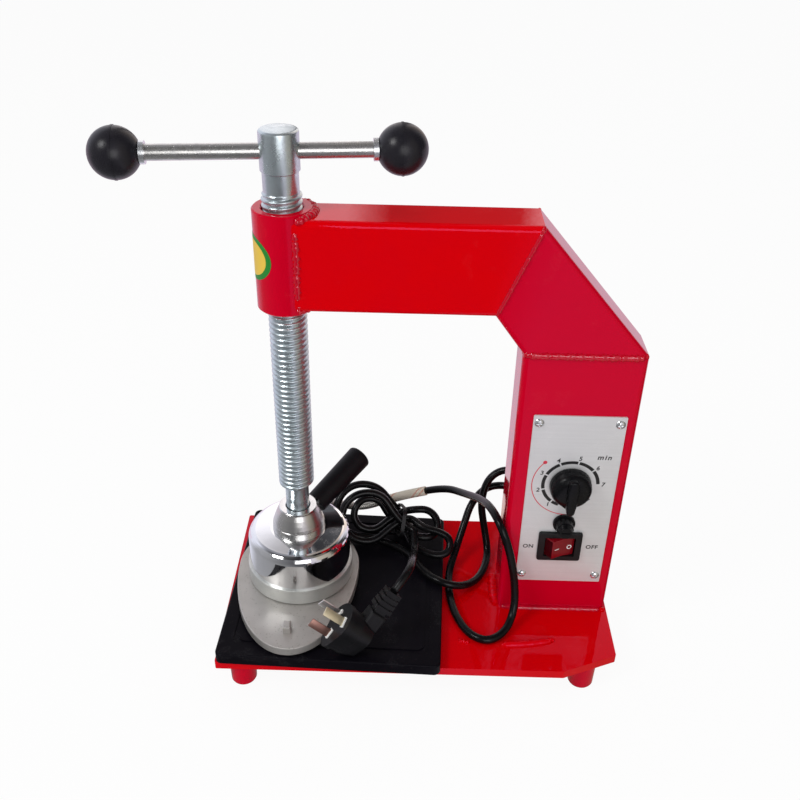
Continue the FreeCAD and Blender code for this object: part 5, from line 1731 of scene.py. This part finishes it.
@dataclass
class Hank:
    """Loops of the tied hank, a figure of eight whose strands cross in layers."""

    waist: Point = (13.0, 55.0, 54.5)
    left: Point = (-20.0, -2.0, 4.0)
    up: Point = (-4.5, 10.5, 20.4)
    slope: float = 38.0
    layer: float = 6.8
    offset: float = 4.3
    back: float = -1.65
    inner: float = 0.6
    left_loops: tuple = (
        (21.9, 31.7, (0.1, 0.4, 3.6)),
        (12.9, 25.2, (-0.4, 0.5, 0.6)),
        (20.7, 29.8, (0.0, -0.2, 0.7)),
    )
    left_layer: float = 1.1
    left_rise: float = 0.35
    right_loops: tuple = (
        (
            ((31.9, 40.5, 48.4), (0.98, -0.16, -0.07)),
            ((44.4, 51.1, 52.8), (0.0, 0.79, 0.92)),
            ((31.0, 61.1, 61.5), (-1.0, -0.02, 0.0)),
        ),
        (
            ((36.1, 27.8, 42.35), (0.9, -0.37, -0.2)),
            ((54.7, 33.4, 46.6), (0.08, 0.79, 0.69)),
            ((39.4, 42.1, 55.4), (-1.02, 0.15, 0.11)),
        ),
    )

    def axes(self) -> tuple[Vector, Vector, Vector]:
        """Left, up and front of the hank."""
        left = Vector(self.left).normalized()
        up = Vector(self.up)
        up = (up - left * up.dot(left)).normalized()
        return left, up, up.cross(left).normalized()

    def crossing(self, falling: bool, layer: float, offset: float) -> tuple[Vector, Vector]:
        """Where a strand crosses the waist, and its direction.

        Args:
            falling: the strand runs down to the right.
            layer: layers in front of the waist's middle.
            offset: millimetres across its slope.

        Returns:
            Its place and direction.
        """
        left, up, front = self.axes()
        slope = math.radians(self.slope)
        side = 1.0 if falling else -1.0
        direction = left * (-side * math.cos(slope)) - up * math.sin(slope)
        normal = left * (-math.sin(slope)) + up * (side * math.cos(slope))
        return Vector(self.waist) + normal * offset + front * (layer * self.layer), direction

    def left_loop(self, turn: int) -> list[tuple[Vector, Vector]]:
        """Low, outer and high point of one left loop."""
        left, up, front = self.axes()
        radius, reach, lift = self.left_loops[turn]
        side = 1.0 if turn == 2 else -1.0
        out = front * (side * self.left_layer * self.layer)
        centre = Vector(self.waist) + left * reach + out + Vector(lift)
        rise = front * (-side * self.left_rise * self.layer)
        return [
            (centre - up * radius + rise, left),
            (centre + left * radius, up),
            (centre + up * radius - rise, -left),
        ]

    def stations(self, before: Sequence[Point], after: Sequence[Point]) -> list[tuple[Vector, Vector]]:
        """Points and directions of the hank in order along the cord.

        Args:
            before: route that leads in.
            after: route that leads out.

        Returns:
            Each point with its direction.
        """
        right = [[(Vector(p), Vector(t)) for p, t in loop] for loop in self.right_loops]
        found = [(Vector(before[-1]), Vector(before[-1]) - Vector(before[-2]))]
        found += self.left_loop(0) + [self.crossing(True, self.back, self.offset)] + right[0]
        found += [self.crossing(False, -self.inner, -self.offset)] + self.left_loop(1)
        found += [self.crossing(True, self.back, -self.offset)] + right[1]
        found += [self.crossing(False, self.inner, 0.0)] + self.left_loop(2)
        found += [
            self.crossing(True, -self.back, 0.0), (Vector(after[0]), Vector(after[1]) - Vector(after[0]))
        ]
        return [(p, t.normalized()) for p, t in found]

    def corners(self, before: Sequence[Point], after: Sequence[Point]) -> list[Point]:
        """Control points between the route that leads in and the one that leads out.

        Args:
            before: route that leads in.
            after: route that leads out.

        Returns:
            Where the loops' tangents meet, in millimetres.
        """
        found: list[Point] = []
        stations = self.stations(before, after)
        for (p, t), (q, u) in zip(stations, stations[1:]):
            v = q - p
            s = t + u
            a = 2 * (1 - t.dot(u))
            b = 2 * v.dot(s)
            reach = (-b + math.sqrt(b * b + 4 * a * v.dot(v))) / (2 * a) if abs(a) > 1e-9 else v.dot(v) / b
            found += [tuple(p + t * reach), tuple(q - u * reach)]
        return found


# ---------------------------------------------------------------- stage


@dataclass
class Studio:
    """Floor, surroundings, lamps and camera."""

    eye: Point = (16.28, -549.36, 562.04)
    yaw: float = -0.535
    pitch: float = 32.669
    roll: float = 1.195
    lens: float = 41.76
    middle: tuple[float, float] = (0.005, 0.0)
    floor_behind: Colour = (0.95, 0.8, 0.95)
    floor_half: float = 6.0
    floor_paint: Colour = (0.8, 0.8, 0.8)
    floor_white: float = 0.94
    floor_gloss: float = 0.9
    even_light: float = 0.5
    lamps: tuple[tuple[str, Point, tuple[float, float], float, bool], ...] = (
        ("key_light", (-1.0, -0.68, 1.36), (0.45, 0.45), 9.0, True),
        ("front_light", (0.3, -1.7, 0.75), (1.0, 1.0), 9.5, True),
        ("top_light", (0.1, 0.3, 1.9), (1.5, 1.5), 5.0, False),
    )
    bands: tuple[tuple[float, Colour], ...] = (
        (-177.6, (0.1, 0.1, 0.11)),
        (-176.6, (1.5, 1.4, 1.4)),
        (-150.0, (1.0, 1.0, 1.1)),
        (-112.0, (0.86, 0.87, 1.0)),
        (-92.0, (0.42, 0.42, 0.45)),
        (-55.0, (0.3, 0.3, 0.31)),
        (-8.0, (0.1, 0.1, 0.11)),
        (11.0, (0.12, 0.12, 0.13)),
        (18.0, (0.72, 0.66, 0.78)),
        (38.0, (0.7, 0.66, 0.7)),
        (46.0, (0.55, 0.5, 0.42)),
        (72.0, (0.4, 0.36, 0.3)),
        (80.0, (0.03, 0.03, 0.03)),
        (120.0, (0.05, 0.05, 0.05)),
        (134.0, (0.8, 0.78, 0.86)),
        (150.0, (0.95, 0.78, 0.66)),
        (166.0, (1.5, 1.35, 1.3)),
        (171.6, (1.4, 1.3, 1.3)),
        (173.0, (0.1, 0.1, 0.11)),
    )

    def build(self) -> None:
        """Set the stage."""
        self.camera()
        self.floor()
        self.world()
        for lamp in self.lamps:
            self.lamp(*lamp)
        bpy.context.scene.view_settings.view_transform = "Standard"
        LOG.info("studio")

    def around(self, w: Wiring, place: bpy.types.NodeSocket) -> bpy.types.NodeSocket:
        """What gloss sees in each direction about the press.

        Args:
            w: the material's or the world's wiring.
            place: a position or direction from the middle.

        Returns:
            The colour of the surroundings there.
        """
        parts = w.node("SeparateXYZ", {0: place})
        turn = w.math("ARCTAN2", parts.outputs["X"], w.math("MULTIPLY", parts.outputs["Y"], -1.0))
        ramp = w.node("ValToRGB", {0: w.math("ADD", w.math("DIVIDE", turn, 2 * math.pi), 0.5)})
        stops = ramp.color_ramp.elements
        for index, (angle, colour) in enumerate(self.bands):
            stop = stops[index] if index < 2 else stops.new(angle / 360.0 + 0.5)
            stop.position = angle / 360.0 + 0.5
            stop.color = (*colour, 1.0)
        return ramp.outputs[0]

    def camera(self) -> None:
        """Camera at the photograph's place."""
        data = bpy.data.cameras.new("camera")
        data.lens = self.lens
        data.sensor_width = 36.0
        obj = bpy.data.objects.new("camera", data)
        bpy.context.collection.objects.link(obj)
        yaw, pitch, roll = (math.radians(v) for v in (self.yaw, self.pitch, self.roll))
        forward = Vector((math.sin(yaw) * math.cos(pitch), math.cos(yaw) * math.cos(pitch), -math.sin(pitch)))
        right = Vector((math.cos(yaw), -math.sin(yaw), 0.0))
        up = right.cross(forward)
        across = right * math.cos(roll) + up * math.sin(roll)
        above = up * math.cos(roll) - right * math.sin(roll)
        turn = Matrix((across, above, -forward)).transposed()
        obj.matrix_world = Matrix.Translation(Vector(self.eye) * MM) @ turn.to_4x4()
        bpy.context.scene.camera = obj

    def floor(self) -> None:
        """Wide floor: white to the eye, banded to gloss, with the press's shadow on it."""
        bm = bmesh.new()
        bmesh.ops.create_grid(bm, x_segments=1, y_segments=1, size=self.floor_half)
        mesh = bpy.data.meshes.new("floor")
        bm.to_mesh(mesh)
        bm.free()
        obj = bpy.data.objects.new("floor", mesh)
        bpy.context.collection.objects.link(obj)
        made = bpy.data.materials.new("floor_white")
        made.use_nodes = True
        made.node_tree.nodes.clear()
        w = Wiring(made.node_tree)
        moved = w.node("VectorMath", {0: w.place(), 1: (*self.middle, 0.0)}, operation="SUBTRACT").outputs[0]
        behind = w.span(w.node("SeparateXYZ", {0: w.place()}).outputs["Y"], 0.12, 0.22)
        shown = w.blend(behind, self.around(w, moved), self.floor_behind)
        path = w.node("LightPath")
        paint = w.node("BsdfDiffuse", {"Color": self.floor_paint})
        white = w.node("Emission", {"Color": (1.0, 1.0, 1.0), "Strength": 1.0})
        banded = w.node("Emission", {"Color": shown, "Strength": self.floor_gloss})
        share = w.math("MULTIPLY", path.outputs["Is Camera Ray"], self.floor_white)
        seen = w.node("MixShader", {0: share, 1: paint.outputs[0], 2: white.outputs[0]})
        mixed = w.node(
            "MixShader", {0: path.outputs["Is Glossy Ray"], 1: seen.outputs[0], 2: banded.outputs[0]}
        )
        out = w.node("OutputMaterial")
        made.node_tree.links.new(mixed.outputs[0], out.inputs[0])
        mesh.materials.append(made)

    def world(self) -> None:
        """White surroundings for the eye, bands for gloss and a soft even light."""
        world = bpy.data.worlds.new("studio_world")
        bpy.context.scene.world = world
        world.use_nodes = True
        world.node_tree.nodes.clear()
        w = Wiring(world.node_tree)
        path = w.node("LightPath")
        view = w.node("TexCoord").outputs["Generated"]
        height = w.node("SeparateXYZ", {0: view}).outputs["Z"]
        banded = w.node(
            "Background", {"Color": self.around(w, view), "Strength": w.span(height, 0.6, 0.85, 1.0, 0.3)}
        )
        even = w.node("Background", {"Color": (1.0, 1.0, 1.0), "Strength": self.even_light})
        white = w.node("Background", {"Color": (1.0, 1.0, 1.0), "Strength": 1.0})
        eye = w.node("MixShader", {0: path.outputs["Is Camera Ray"], 1: even.outputs[0], 2: white.outputs[0]})
        mixed = w.node(
            "MixShader", {0: path.outputs["Is Glossy Ray"], 1: eye.outputs[0], 2: banded.outputs[0]}
        )
        out = w.node("OutputWorld")
        world.node_tree.links.new(mixed.outputs[0], out.inputs[0])

    def lamp(self, name: str, place: Point, size: tuple[float, float], power: float, glossy: bool) -> None:
        """A soft lamp aimed at the press.

        Args:
            name: its name.
            place: in metres.
            size: width and height in metres.
            power: in watts.
            glossy: gloss shows it.
        """
        data = bpy.data.lights.new(name, "AREA")
        data.shape = "RECTANGLE"
        data.size, data.size_y = size
        data.energy = power
        obj = bpy.data.objects.new(name, data)
        bpy.context.collection.objects.link(obj)
        obj.location = place
        obj.rotation_euler = (Vector((0.0, 0.0, 0.2)) - Vector(place)).to_track_quat("-Z", "Y").to_euler()
        obj.visible_glossy = glossy


def main() -> None:
    """Build the press's looks around its frame."""
    logging.basicConfig(level=logging.INFO, format="%(name)s: %(message)s")
    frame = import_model()
    shop = Shop(frame)
    Studio().build()
    Cords(shop).build()
    WeldedFrame(shop).build()
    HeaterTray(shop).build()
    PressScrew(shop).build()
    HeatingHead(shop).build()
    ControlPanel(shop).build()


if __name__ == "__main__":
    main()
